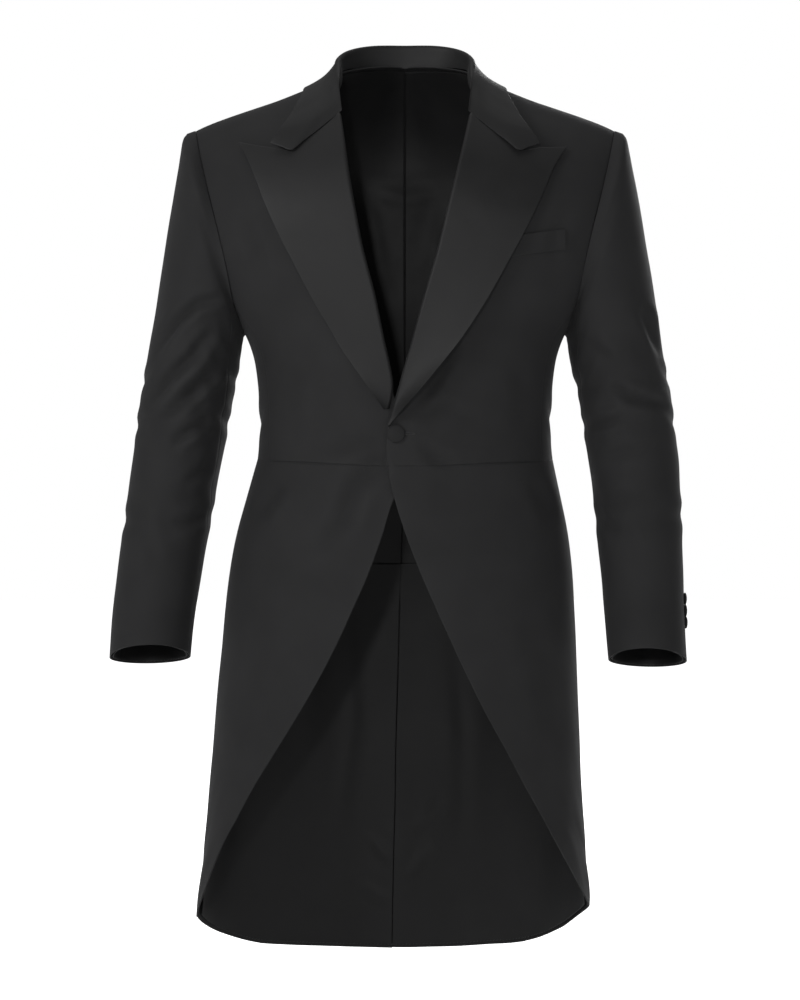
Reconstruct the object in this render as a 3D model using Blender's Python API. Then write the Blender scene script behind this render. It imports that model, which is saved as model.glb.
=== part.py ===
"""Single-button tailcoat with a cutaway front, worn shape, hollow inside.

Metres, +Z up, the wearer faces -Y, so the wearer's left is +X. The origin is
between the shoulders at neck height, where the wearer carries the coat.
Every panel is a thin wall laid on one trunk form or on one of two arm forms.
In the tables all sizes are millimetres and "drop" is measured down from the origin.
"""

import math

import bpy
import bmesh
import numpy as np
from mathutils import Matrix, Vector

MM = 0.001
LEFT = 1
RIGHT = -1


class Table:
    """Rows of sizes with named columns, read between the rows on a smooth line."""

    def __init__(self, columns, rows):
        self.numbers = {name: number for number, name in enumerate(columns)}
        self.rows = rows

    def slope(self, column, row):
        """Slope of a column at a row, level where the column turns back."""
        last = len(self.rows) - 1
        number = self.numbers[column]

        def rise(first):
            low, high = self.rows[first], self.rows[first + 1]
            return (high[number] - low[number]) / (high[0] - low[0])

        if row in (0, last):
            return rise(min(row, last - 1))
        before, after = rise(row - 1), rise(row)
        if before * after <= 0:
            return 0.0
        return 2 * before * after / (before + after)

    def at(self, column, place):
        """Value of a column at a place in the first column."""
        number = self.numbers[column]
        place = min(max(place, self.rows[0][0]), self.rows[-1][0])
        row = 0
        while row < len(self.rows) - 2 and place > self.rows[row + 1][0]:
            row += 1
        low, high = self.rows[row], self.rows[row + 1]
        width = high[0] - low[0]
        share = (place - low[0]) / width
        square = share * share
        cube = square * share
        return ((2 * cube - 3 * square + 1) * low[number]
                + (cube - 2 * square + share) * width * self.slope(column, row)
                + (3 * square - 2 * cube) * high[number]
                + (cube - square) * width * self.slope(column, row + 1))


# Cloth and seams
CLOTH = 2.0
SATIN = 2.0
LINING = 0.9
SEAM_GAP = 0.3
LAYER_GAP = 0.35
LINING_GAP = 2.6
BACK_LINING_GAP = 0.8
LAP_RAISE = 3.4

# Shoulders and neck
SHOULDER_RISE = 18.0
SHOULDER_SLOPE = 0.435
NECK_HALF_WIDTH = 80.0
BACK_NECK_RISE = 11.0
SHOULDER_BEHIND = 5.0
FRONT_SHOULDER_DEPTH = 180.0
BACK_SHOULDER_DEPTH = 140.0
FRONT_NECK_POWER = 1.7
FRONT_TIP_POWER = 1.15
FRONT_POWER_REACH = 120.0
BACK_POWER = 1.2
RING_POWER = 0.92

# Waist seam, hem and vent
WAIST_DROP = 440.0
WAIST_FRONT_DIP = 11.0
HEM_SIDE_DROP = 982.0
HEM_BACK_EXTRA = 60.0
HEM_CORNER_RISE = 45.0
HEM_CORNER_ANGLE = 18.0
VENT_TOP_DROP = 617.0
VENT_LAP_ANGLE = 7.0

# Armhole notches, where the side body starts
FRONT_NOTCH_DROP = 262.0
BACK_NOTCH_DROP = 250.0
NOTCH_GUESS_DROP = 240.0

# Above this drop a wall's outside also faces up, by this much beside its distance from the trunk's line
UPWARD_ABOVE_DROP = 120.0
UPWARD_SHARE = 60.0

# Trunk form: half width, depth in front, depth behind and middle, by drop
TRUNK = Table(("drop", "half_width", "front_depth", "back_depth", "middle"), (
    (-60, 290, 112, 118, 0),
    (60, 280, 116, 120, 0),
    (120, 270, 122, 124, 0),
    (170, 260, 126, 126, 0),
    (220, 238, 127, 125, 0),
    (262, 212, 126, 122, 0),
    (296, 188, 124, 118, 0),
    (325, 178, 121, 112, 0),
    (375, 172, 117, 104, 0),
    (410, 171, 116, 101, 0),
    (443, 174, 117, 102, 0),
    (490, 186, 121, 112, -2),
    (515, 192, 125, 120, -3),
    (560, 200, 130, 130, -4),
    (608, 205, 134, 136, -6),
    (655, 208, 137, 139, -7),
    (726, 213, 140, 142, -9),
    (797, 217, 142, 144, -11),
    (867, 222, 144, 147, -12),
    (938, 228, 146, 150, -14),
    (1060, 238, 148, 156, -16),
))

# Distance of the armhole seam from the middle
ARMHOLE = Table(("drop", "across"), (
    (40, 252), (58, 246), (94, 238), (152, 223), (208, 209), (250, 202), (262, 199), (296, 188),
))

# Seams of the side body, as angles round the trunk from the middle of the front, and its top under the arm
UNDERARM_FRONT_ANGLE = 69.0
UNDERARM_BACK_ANGLE = 113.7
SIDE_SEAMS = Table(("drop", "front_angle", "back_angle"), (
    (250, UNDERARM_FRONT_ANGLE, UNDERARM_BACK_ANGLE), (262, 69.0, 116.0), (296, 68.0, 123.5), (340, 67.0, 131.5),
    (390, 66.5, 138.0), (443, 66.0, 142.0), (700, 66.0, 140.0), (1060, 66.0, 138.0),
))
UNDERARM = Table(("angle", "drop"), (
    (UNDERARM_FRONT_ANGLE, 262), (79.0, 284), (90.0, 296), (101.0, 284), (UNDERARM_BACK_ANGLE, 250),
))

# Roll lines, then the edges of the lapping fronts, the cutaway and the lapels: distances from the middle
BUTTON_POINT_DROP = 412
ROLL = Table(("drop", "left", "right"), (
    (-30, 76, -79), (16, 71, -77), (60, 65, -71), (119, 54, -63), (160, 45, -56), (206, 35, -47),
    (256, 21, -34), (305, 8, -24), (347, -4, -15), (379, -13, -11), (BUTTON_POINT_DROP, -23, 8),
))
FRONT_EDGE = Table(("drop", "left", "right"), (
    (BUTTON_POINT_DROP, -23, 8), (442, -24, 10), (453, -20, 8), (467, -16, 2), (481, -14, -7), (495, -11, -15),
    (515, -5, -21), (534, 2, -27), (557, 11, -35), (580, 20, -44), (614, 35, -59), (649, 51, -75),
    (683, 67, -92), (717, 83, -112), (752, 102, -132), (786, 121, -154), (821, 139, -175),
    (853, 158, -192), (877, 170, -205), (911, 189, -222), (933, 201, -232), (960, 212, -242),
))
LAPEL_EDGE = Table(("drop", "left", "right"), (
    (82, 186, -192), (101, 173, -179), (140, 156, -164), (187, 132, -143), (231, 107, -120),
    (263, 88, -103), (290, 70, -87), (320, 49, -70), (348, 27, -50), (372, 9, -34), (389, -6, -22),
    (402, -16, -12), (BUTTON_POINT_DROP, -23, 8),
))
LAPEL_END_DROP = {LEFT: 405.0, RIGHT: 386.0}

# How far a front's edge lies inside the roll line: more at the neck, where the lapel is wide
EDGE_TUCK = 0.8
EDGE_TUCK_AT_NECK = 5.0
EDGE_TUCK_DROPS = (50.0, 110.0)

# Where the left front stands off to lap over the right one, and the left tail over the right one
LAP_REACH = 38.0
LAP_FADE = 20.0
LAP_START_DROPS = (318.0, 352.0)
LAP_END_DROPS = (505.0, 545.0)
VENT_LAP_REACH = 14.0
VENT_LAP_FADE = 12.0
VENT_LAP_DROPS = (VENT_TOP_DROP - 60.0, VENT_TOP_DROP - 10.0)
VENT_OPENS_DROPS = (VENT_TOP_DROP - 14.0, VENT_TOP_DROP + 14.0)

# Gorge: the seam between lapel and collar, then the top edge of the peak
GORGE_TOP = (74.0, 44.0)
GORGE_NOTCH = (131.0, 89.0)
PEAK_MIDDLE = (155.0, 82.5)
PEAK_TIP = {LEFT: (186.0, 82.0), RIGHT: (192.0, 76.0)}

# Collar, for the left half: seam on the neck, fold, bend of the fall and free edge
COLLAR = Table(("seam_x", "seam_y", "seam_z", "fold_x", "fold_y", "fold_z",
                "bend_x", "bend_y", "bend_z", "edge_x", "edge_y", "edge_z"), (
    (0, 58, 29, 0, 56, 55, 0, 78, 33, 0, 91, 8),
    (36, 51, 29, 35, 50, 54, 46, 70, 30, 52, 82, 5),
    (60, 33, 26, 61, 35, 48, 78, 46, 24, 92, 55, 1),
    (75, 10, 21, 77, 10, 37, 87, 12, 20, 117, 13, 7),
    (76, -12, 12, 78, -14, 20, 88, -22, 9, 121, -34, -7),
    (74, -31, -2, 76, -36, 3, 95, -52, -20, 133, -63, -36),
    (71, -50, -22, 73, -56, -20, 108, -76, -50, 147, -80, -60),
    (69, -62, -38, 71, -68, -37, 130.4, -93, -85, 156, -84.5, -75),
))
COLLAR_THICK = 1.8
COLLAR_FOLD_HALF = 2.4
COLLAR_FOLD_RISE = 1.2
COLLAR_SECTION_STEPS = 2
COLLAR_FALL_STEPS = 6
COLLAR_STAND_STEPS = 3
COLLAR_CREASED_ROWS = (5, 7)

# Lapels
LAPEL_ACROSS = (0.0, 0.06, 0.2, 0.33, 0.45, 0.56, 0.68, 0.84, 1.0)
LAPEL_NOTCH_SHARE = 0.45
LAPEL_PEAK_SHARE = 0.68
LAPEL_ROWS = 13
LAPEL_LIFT = 1.5
LAPEL_TOP_FADE = 3
LAPEL_TUCK = 3.0
LAPEL_EDGE_LIFT = 1.8

# Arm forms: outer and inner line of each section, its middle depth and its half depth
SLEEVE_COLUMNS = ("section", "outer_x", "outer_drop", "inner_x", "inner_drop", "middle_y", "half_depth")
SLEEVE = {
    RIGHT: Table(SLEEVE_COLUMNS, (
        (0, 246, 58, 188, 296, 0, 66), (1, 256, 60, 190.5, 298, 0, 69), (2, 262, 70, 191, 301, 0, 72),
        (3, 267, 98, 192, 306, 0, 75), (4, 274, 138, 193, 313, 2, 76), (5, 283, 190, 195, 323, 5, 76),
        (6, 292, 250, 198, 340, 7, 74), (7, 302, 310, 203, 367, 8, 71), (8, 313, 375, 211, 415, 6, 67),
        (9, 322, 445, 221, 470, 1, 62), (10, 330, 515, 231, 530, -9, 57), (11, 338, 585, 241, 592, -26, 52),
        (12, 342, 640, 247, 642, -44, 49), (13, 343, 676, 249, 673, -56, 48),
    )),
    LEFT: Table(SLEEVE_COLUMNS, (
        (0, 246, 58, 188, 296, 0, 66), (1, 256, 60, 190.5, 298, 0, 69), (2, 262, 70, 191, 301, 0, 72),
        (3, 268, 98, 192, 306, 0, 75), (4, 276, 138, 193, 313, 2, 76), (5, 285, 190, 195, 323, 5, 76),
        (6, 295, 250, 199, 340, 7, 74), (7, 304, 310, 205, 367, 8, 71), (8, 315, 375, 212, 415, 6, 67),
        (9, 323, 445, 220, 470, 1, 62), (10, 326, 515, 226, 530, -9, 57), (11, 326, 585, 231, 592, -26, 52),
        (12, 326, 640, 234, 645, -44, 49), (13, 327, 680, 236, 677, -56, 48),
    )),
}
SLEEVE_TWIST = {RIGHT: 32.0, LEFT: 55.0}
SLEEVE_BLEND_SECTIONS = 3.0
SLEEVE_STEPS = 2
SLEEVE_BACK_SEAM_POINTS = 4
SLEEVE_CLEARANCE = 0.45
CUFF_TILT = 10.0
CUFF_TILT_FROM = 0.6
CUFF_LINING_HEIGHT = 48.0
CUFF_LINING_SHY = 3.0

# Folds that show from a step away: on an arm, where along it and round it, how far they run
FOLD_COLUMNS = ("start_drop", "start_angle", "end_drop", "end_angle", "half_width", "depth")
SLEEVE_FOLDS = {
    RIGHT: Table(FOLD_COLUMNS, (
        (300, 150, 372, 20, 15, -3.5), (338, 140, 418, 10, 14, -4.0), (392, 150, 446, 40, 15, -3.0),
        (455, 150, 520, 60, 18, -2.5), (330, 210, 410, 330, 16, -3.0), (420, 200, 480, 320, 16, -2.5),
    )),
    LEFT: Table(FOLD_COLUMNS, (
        (300, 150, 372, 20, 15, -3.0), (352, 140, 400, 20, 14, -3.0), (398, 150, 440, 50, 15, -3.0),
        (460, 150, 530, 70, 18, -2.5), (330, 210, 410, 330, 16, -3.0), (420, 200, 480, 320, 16, -2.5),
    )),
}
FOLD_RUNOUT = 0.15
FOLD_FREE_SECTIONS = {"armhole": 6, "cuff": 5}

# Chest welt on the left front: four corners, across and drop
WELT_CORNERS = ((104.0, 191.0), (184.0, 178.0), (184.0, 202.0), (104.0, 215.0))
WELT_THICK = 1.1
WELT_ROWS = 2
WELT_COLUMNS = 6

# Linings of the back and the tails
BACK_LINING_END = 568.0
BACK_LINING_TAIL_ROWS = (4, 8, 12)
BACK_LINING_INSET = 3.0
TAIL_LINING_ANGLES = (179.8, 92.0)
TAIL_LINING_ROWS = 8
TAIL_LINING_COLUMNS = 12
TAIL_LINING_LAP = 1.0
HEM_SHY = 5.0

# Buttons: the profile gives shares of the radius and of the thickness
FRONT_BUTTON = {"across": -10.0, "drop": 414.0, "radius": 10.0, "thick": 4.6}
CUFF_BUTTON = {"radius": 7.0, "thick": 3.4, "spacing": 14.5, "first_from_cuff": 46.0, "from_seam": 9.0}
CUFF_BUTTON_COUNT = 3
BUTTON_PROFILE = ((0.86, 0.0), (1.0, 0.36), (0.90, 0.76), (0.52, 1.0))
BUTTON_SEGMENTS = 18

# Colours: base colour, roughness
FINISHES = {
    "cloth": ((0.016, 0.016, 0.018), 0.85),
    "satin": ((0.030, 0.030, 0.032), 0.35),
    "lining": ((0.012, 0.012, 0.013), 0.45),
    "button": ((0.014, 0.014, 0.015), 0.40),
}

# Grid steps
SHOULDER_ROWS = 6
UNDERARM_ROWS = 5
SKIRT_ROWS = 12
FOREPART_COLUMNS = 9
SIDE_COLUMNS = 5
BACK_COLUMNS = 8
SKIRT_COLUMNS = 11
FRONT_CROWDING = 1.2
SHARP_ANGLE = 50.0
NEARLY_ONE = 0.9999


def clear_scene():
    """Starts from an empty scene."""
    for thing in list(bpy.data.objects):
        bpy.data.objects.remove(thing, do_unlink=True)


def clamp(value, low=0.0, high=1.0):
    return min(max(value, low), high)


def smooth_step(value):
    value = clamp(value)
    return value * value * (3 - 2 * value)


def mix(first, second, share):
    return first + (second - first) * share


def between(value, limits):
    """0 before the first limit, 1 after the second, and a soft step between them."""
    return smooth_step((value - limits[0]) / (limits[1] - limits[0]))


def signed_power(value, power):
    return math.copysign(abs(value) ** power, value)


def side_word(side):
    return "left" if side == LEFT else "right"


def side_name(name, side):
    return name + "_" + side_word(side)


# Trunk form


def shoulder_drop(across):
    """Drop of the shoulder line at a distance from the middle."""
    return SHOULDER_SLOPE * (abs(across) - NECK_HALF_WIDTH) - SHOULDER_RISE


def shoulder_depth(front):
    return FRONT_SHOULDER_DEPTH if front else BACK_SHOULDER_DEPTH


def shoulder_power(across, front):
    """How fast a shoulder rounds into the front or the back."""
    if not front:
        return BACK_POWER
    share = clamp((abs(across) - NECK_HALF_WIDTH) / FRONT_POWER_REACH)
    return mix(FRONT_NECK_POWER, FRONT_TIP_POWER, share)


def depth_column(front):
    return "front_depth" if front else "back_depth"


def ring(angle, drop):
    """A point of the trunk, in mm: the angle runs from the middle of the front to the left."""
    turn = math.radians(angle)
    middle = TRUNK.at("middle", drop)
    across = signed_power(math.sin(turn), RING_POWER) * TRUNK.at("half_width", drop)
    front = math.cos(turn) > 0
    depth = TRUNK.at(depth_column(front), drop)
    away = -signed_power(math.cos(turn), RING_POWER) * depth
    share = clamp((drop - shoulder_drop(across)) / shoulder_depth(front))
    rise = math.sqrt(1 - (1 - share) ** 2) ** shoulder_power(across, front)
    return Vector((middle + across, mix(SHOULDER_BEHIND, away, rise), -drop))


def ring_angle(across, drop, front=True):
    """Angle of the trunk point at a distance from the middle."""
    share = (across - TRUNK.at("middle", drop)) / TRUNK.at("half_width", drop)
    share = clamp(share, -NEARLY_ONE, NEARLY_ONE)
    angle = math.degrees(math.asin(signed_power(share, 1 / RING_POWER)))
    if front:
        return angle
    return 180 - angle


def over_shoulder(across, turn, front):
    """A point near the shoulder line: turn is 0 on the line and 90 where the trunk is upright."""
    angle = math.radians(turn)
    drop = shoulder_drop(across) + shoulder_depth(front) * (1 - math.cos(angle))
    share = clamp(abs(across - TRUNK.at("middle", drop)) / TRUNK.at("half_width", drop), 0, NEARLY_ONE)
    side = (1 - share ** (2 / RING_POWER)) ** (RING_POWER / 2)
    depth = TRUNK.at(depth_column(front), drop) * side
    away = -depth if front else depth
    rise = signed_power(math.sin(angle), shoulder_power(across, front))
    return Vector((across, SHOULDER_BEHIND + (away - SHOULDER_BEHIND) * rise, -drop))


def normal_of(surface, first, second, step=0.5):
    """Outward normal of a surface of two numbers."""
    along = surface(first + step, second) - surface(first - step, second)
    down = surface(first, second + step) - surface(first, second - step)
    normal = along.cross(down)
    return normal.normalized()


def outward(normal, point):
    """Turns a normal away from the line through the trunk."""
    lift = UPWARD_SHARE if point.z > -UPWARD_ABOVE_DROP else 0.0
    away = Vector((point.x, point.y, lift))
    if normal.dot(away) < 0:
        return -normal
    return normal


class Spot:
    """One place on the trunk with the direction away from it."""

    def __init__(self, angle=0.0, drop=0.0, across=None, turn=None, front=True):
        if turn is None:
            self.point = ring(angle, drop)
            normal = normal_of(ring, angle, drop)
        else:
            self.point = over_shoulder(across, turn, front)
            normal = normal_of(lambda a, t: over_shoulder(a, t, front), across, turn)
        self.normal = outward(normal, self.point)

    def moved(self, distance):
        return self.point + self.normal * distance


def front_spot(across, drop):
    """The place on the front of the trunk seen at a distance from the middle and a drop."""
    share = 1 - (drop - shoulder_drop(across)) / FRONT_SHOULDER_DEPTH
    if share > 0:
        return Spot(across=across, turn=math.degrees(math.acos(clamp(share))), front=True)
    return Spot(angle=ring_angle(across, drop), drop=drop)


# Edges of the panels


def armhole_across(drop):
    return ARMHOLE.at("across", drop)


def waist_drop(angle):
    return WAIST_DROP + WAIST_FRONT_DIP * max(math.cos(math.radians(angle)), 0.0)


def hem_drop(angle):
    """Drop of the hem, lowest at the middle of the back and rounded up at the front corner."""
    angle = abs(angle)
    if angle >= 90:
        return HEM_SIDE_DROP + HEM_BACK_EXTRA * math.sin(math.radians(angle - 90))
    return HEM_SIDE_DROP - HEM_CORNER_RISE * min((90 - angle) / HEM_CORNER_ANGLE, 1.0) ** 2


def roll_across(drop, side):
    return ROLL.at(side_word(side), drop)


def front_inner(drop, side):
    """Distance of a front's inner edge from the middle: the roll line, then the lapping edge."""
    if drop > BUTTON_POINT_DROP:
        return FRONT_EDGE.at(side_word(side), drop)
    tucked = EDGE_TUCK_AT_NECK * (1 - between(drop, EDGE_TUCK_DROPS)) + EDGE_TUCK
    return roll_across(drop, side) + side * tucked


def lap_raise(point, side):
    """How far the left front stands off to lie over the right one."""
    if side == RIGHT:
        return 0.0
    drop = -point.z
    near_edge = smooth_step((LAP_REACH - point.x) / LAP_FADE)
    return LAP_RAISE * near_edge * between(drop, LAP_START_DROPS) * (1 - between(drop, LAP_END_DROPS))


def vent_raise(point):
    """How far the left tail stands off to lie over the right one below the vent."""
    near_edge = smooth_step((VENT_LAP_REACH - point.x) / VENT_LAP_FADE)
    return LAP_RAISE * near_edge * between(-point.z, VENT_LAP_DROPS)


def solve(spot_of, guess, rounds=5):
    """Repeats a place on the trunk until its edges, which depend on its drop, agree with it."""
    drop = guess
    spot = None
    for _ in range(rounds):
        spot = spot_of(drop)
        drop = -spot.point.z
    return spot


def pulled_in(grid, gap=SEAM_GAP / 2, edges="udlr"):
    """Pulls the edges of a grid of spots in, to leave half a seam's gap on each."""
    points = [[spot.point.copy() for spot in row] for row in grid]

    def pull(near, far):
        return near + (far - near).normalized() * gap

    rows, columns = len(points), len(points[0])
    old = [[point.copy() for point in row] for row in points]
    for row in range(rows):
        if "l" in edges:
            points[row][0] = pull(points[row][0], old[row][1])
        if "r" in edges:
            points[row][-1] = pull(points[row][-1], old[row][-2])
    old = [[point.copy() for point in row] for row in points]
    for column in range(columns):
        if "u" in edges:
            points[0][column] = pull(points[0][column], old[1][column])
        if "d" in edges:
            points[-1][column] = pull(points[-1][column], old[-2][column])
    for row, line in enumerate(points):
        for column, point in enumerate(line):
            grid[row][column].point = point
    return grid


# Panels of the body, as grids of spots: rows go down, columns go away from the middle


def forepart_grid(side):
    """A front from the shoulder to the waist seam, out to the armhole and the side seam."""
    def edge_out(drop):
        if drop < FRONT_NOTCH_DROP:
            return side * armhole_across(drop)
        turn = math.radians(SIDE_SEAMS.at("front_angle", drop))
        return TRUNK.at("middle", drop) + side * math.sin(turn) ** RING_POWER * TRUNK.at("half_width", drop)

    grid = []
    for row in range(SHOULDER_ROWS + 1):
        turn = 90 * row / SHOULDER_ROWS
        line = []
        for column in range(FOREPART_COLUMNS + 1):
            share = column / FOREPART_COLUMNS

            def place(drop, share=share, turn=turn):
                inner = ring_angle(front_inner(drop, side), drop)
                outer = ring_angle(edge_out(drop), drop)
                sweep = math.sin(math.radians(mix(inner, outer, share)))
                across = TRUNK.at("middle", drop) + signed_power(sweep, RING_POWER) * TRUNK.at("half_width", drop)
                return Spot(across=across, turn=turn, front=True)

            line.append(solve(place, 60 + 2 * turn))
        grid.append(line)
    notch_share = (FRONT_NOTCH_DROP - FRONT_SHOULDER_DEPTH - shoulder_drop(armhole_across(NOTCH_GUESS_DROP))) / (
        WAIST_DROP - FRONT_SHOULDER_DEPTH - shoulder_drop(armhole_across(NOTCH_GUESS_DROP)))
    shares = [mix(notch_share, 1, row / UNDERARM_ROWS) for row in range(UNDERARM_ROWS + 1)]
    for step, down in enumerate(shares):
        line = []
        for column in range(FOREPART_COLUMNS + 1):
            share = column / FOREPART_COLUMNS

            def place(drop, share=share, down=down, step=step):
                inner = ring_angle(front_inner(drop, side), drop)
                seam = mix(FRONT_NOTCH_DROP, waist_drop(66), step / UNDERARM_ROWS)
                outer = ring_angle(edge_out(seam), seam)
                angle = mix(inner, outer, share)
                across = ring(angle, drop).x
                top = shoulder_drop(across) + FRONT_SHOULDER_DEPTH
                waist = waist_drop(angle)
                plain = mix(top, waist, down)
                return Spot(angle=angle, drop=mix(plain, seam, smooth_step(share)))

            line.append(solve(place, 240 + 200 * down))
        grid.append(line)
    for line in grid:
        for spot in line:
            spot.point += spot.normal * lap_raise(spot.point, side)
    return grid


def side_body_grid(side):
    """The panel under the arm, from the armhole to the waist seam."""
    grid = []
    for row in range(UNDERARM_ROWS + 1):
        line = []
        for column in range(SIDE_COLUMNS + 1):
            share = column / SIDE_COLUMNS

            def place(drop, share=share, row=row):
                angle = mix(SIDE_SEAMS.at("front_angle", drop), SIDE_SEAMS.at("back_angle", drop), share)
                top_angle = mix(UNDERARM_FRONT_ANGLE, UNDERARM_BACK_ANGLE, share)
                level = mix(UNDERARM.at("drop", top_angle), waist_drop(angle), row / UNDERARM_ROWS)
                if row == 0:
                    angle = top_angle
                return Spot(angle=side * angle, drop=level)

            line.append(solve(place, 300 + 30 * row))
        grid.append(line)
    return grid


def back_neck_turn(across):
    """Where the back starts: on the shoulder line, or below it along the neck."""
    if abs(across) >= NECK_HALF_WIDTH:
        return 0.0
    neck = -SHOULDER_RISE - BACK_NECK_RISE * (1 - (across / NECK_HALF_WIDTH) ** 2)
    share = 1 - (neck - shoulder_drop(across)) / BACK_SHOULDER_DEPTH
    return math.degrees(math.acos(clamp(share)))


def back_outer(drop):
    """Angle of the outer edge of a back: armhole, side body seam, then the pleat of the skirt."""
    if drop < BACK_NOTCH_DROP:
        return ring_angle(armhole_across(drop) + TRUNK.at("middle", drop), drop, front=False)
    return SIDE_SEAMS.at("back_angle", drop)


def back_inner(drop, side):
    """Angle of a back's inner edge: the centre seam, with a lap on the left below the vent's top."""
    if side == RIGHT:
        return 180.0
    return 180.0 + VENT_LAP_ANGLE * between(drop, VENT_OPENS_DROPS)


def back_grid(side, columns=BACK_COLUMNS, last_drop=None, lap=True):
    """Half of the back in one piece from the shoulder to the hem, or to a drop."""
    def inner_angle(drop):
        return back_inner(drop, side) if lap else 180.0

    grid = []
    for row in range(SHOULDER_ROWS + 1):
        line = []
        for column in range(columns + 1):
            share = column / columns

            def place(drop, share=share, row=row):
                outer = back_outer(drop)
                sweep = math.sin(math.radians(mix(180.0, outer, share)))
                across = TRUNK.at("middle", drop) + side * sweep ** RING_POWER * TRUNK.at("half_width", drop)
                turn = mix(back_neck_turn(across), 90.0, row / SHOULDER_ROWS)
                return Spot(across=across, turn=turn, front=False)

            line.append(solve(place, 60 + 20 * row))
        grid.append(line)
    levels = [("body", row / UNDERARM_ROWS) for row in range(UNDERARM_ROWS + 1)]
    levels += [("tail", row / SKIRT_ROWS) for row in range(1, SKIRT_ROWS + 1)]
    for kind, down in levels:
        line = []
        for column in range(columns + 1):
            share = column / columns

            def place(drop, share=share, kind=kind, down=down):
                inner = inner_angle(drop)
                if kind == "body":
                    seam = mix(BACK_NOTCH_DROP, WAIST_DROP, down)
                    angle = mix(inner, SIDE_SEAMS.at("back_angle", seam), share)
                    return Spot(angle=side * angle, drop=seam)
                angle = mix(inner, back_outer(drop), share)
                end = hem_drop(angle) if last_drop is None else last_drop
                return Spot(angle=side * angle, drop=mix(WAIST_DROP, end, down))

            line.append(solve(place, 450 + 500 * down))
        grid.append(line)
    if side == LEFT and lap:
        for line in grid:
            for spot in line:
                spot.point += spot.normal * vent_raise(spot.point)
    return grid


def skirt_grid(side):
    """A front skirt from the waist seam to the hem, from the cutaway edge to the pleat."""
    grid = []
    for row in range(SKIRT_ROWS + 1):
        line = []
        for column in range(SKIRT_COLUMNS + 1):
            share = (column / SKIRT_COLUMNS) ** FRONT_CROWDING

            def place(drop, share=share, row=row):
                inner = side * ring_angle(FRONT_EDGE.at(side_word(side), drop), drop)
                outer = SIDE_SEAMS.at("back_angle", drop)
                angle = mix(inner, outer, share)
                level = mix(waist_drop(angle), hem_drop(angle), row / SKIRT_ROWS)
                return Spot(angle=side * angle, drop=level)

            line.append(solve(place, 450 + 500 * row / SKIRT_ROWS, rounds=8))
        grid.append(line)
    for line in grid:
        for spot in line:
            spot.point += spot.normal * lap_raise(spot.point, side)
    return grid


# Solids


def wall(rows, normals, thickness, closed=False):
    """A closed wall: the outer points, the same points moved in, and a rim round them."""
    height, width = len(rows), len(rows[0])
    mesh = bmesh.new()
    outer = [[mesh.verts.new(point * MM) for point in line] for line in rows]
    inner = []
    for line, directions in zip(rows, normals):
        inner.append([mesh.verts.new((point - way * thickness) * MM) for point, way in zip(line, directions)])
    spans = width if closed else width - 1
    for row in range(height - 1):
        for column in range(spans):
            right = (column + 1) % width
            mesh.faces.new((outer[row][column], outer[row + 1][column], outer[row + 1][right], outer[row][right]))
            mesh.faces.new((inner[row][column], inner[row][right], inner[row + 1][right], inner[row + 1][column]))
    for column in range(spans):
        right = (column + 1) % width
        mesh.faces.new((outer[0][column], outer[0][right], inner[0][right], inner[0][column]))
        mesh.faces.new((outer[-1][right], outer[-1][column], inner[-1][column], inner[-1][right]))
    if not closed:
        for row in range(height - 1):
            mesh.faces.new((outer[row][0], inner[row][0], inner[row + 1][0], outer[row + 1][0]))
            mesh.faces.new((outer[row][-1], outer[row + 1][-1], inner[row + 1][-1], inner[row][-1]))
    return mesh


def add_object(name, mesh, finish):
    """Closes, triangulates and names a solid and gives it its finish."""
    bmesh.ops.recalc_face_normals(mesh, faces=mesh.faces)
    if mesh.calc_volume(signed=True) < 0:
        bmesh.ops.reverse_faces(mesh, faces=mesh.faces)
    bmesh.ops.triangulate(mesh, faces=mesh.faces)
    data = bpy.data.meshes.new(name)
    mesh.to_mesh(data)
    mesh.free()
    thing = bpy.data.objects.new(name, data)
    bpy.context.scene.collection.objects.link(thing)
    colour, roughness = FINISHES[finish]
    material = bpy.data.materials.new(name + "_" + finish)
    material.use_nodes = True
    shader = material.node_tree.nodes["Principled BSDF"]
    shader.inputs["Base Color"].default_value = (*colour, 1.0)
    shader.inputs["Roughness"].default_value = roughness
    shader.inputs["Metallic"].default_value = 0.0
    data.materials.append(material)
    data.shade_smooth()
    data.set_sharp_from_angle(angle=math.radians(SHARP_ANGLE))
    return thing


def panel(name, grid, finish="cloth", thickness=CLOTH, lift=0.0):
    """Makes a wall from a grid of spots."""
    rows = [[spot.point + spot.normal * lift for spot in line] for line in grid]
    normals = [[spot.normal for spot in line] for line in grid]
    return add_object(name, wall(rows, normals, thickness), finish)


# Lapels, collar and welt


def lapel_top(share, side):
    """The lapel's top edge, from the roll line along the gorge and the peak to its tip."""
    tip = PEAK_TIP[side]
    corners = ((0.0, *GORGE_TOP), (LAPEL_NOTCH_SHARE, *GORGE_NOTCH), (LAPEL_PEAK_SHARE, *PEAK_MIDDLE), (1.0, *tip))
    for first, second in zip(corners, corners[1:]):
        if share <= second[0]:
            part = (share - first[0]) / (second[0] - first[0])
            return mix(first[1], second[1], part), mix(first[2], second[2], part)
    return tip


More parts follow.
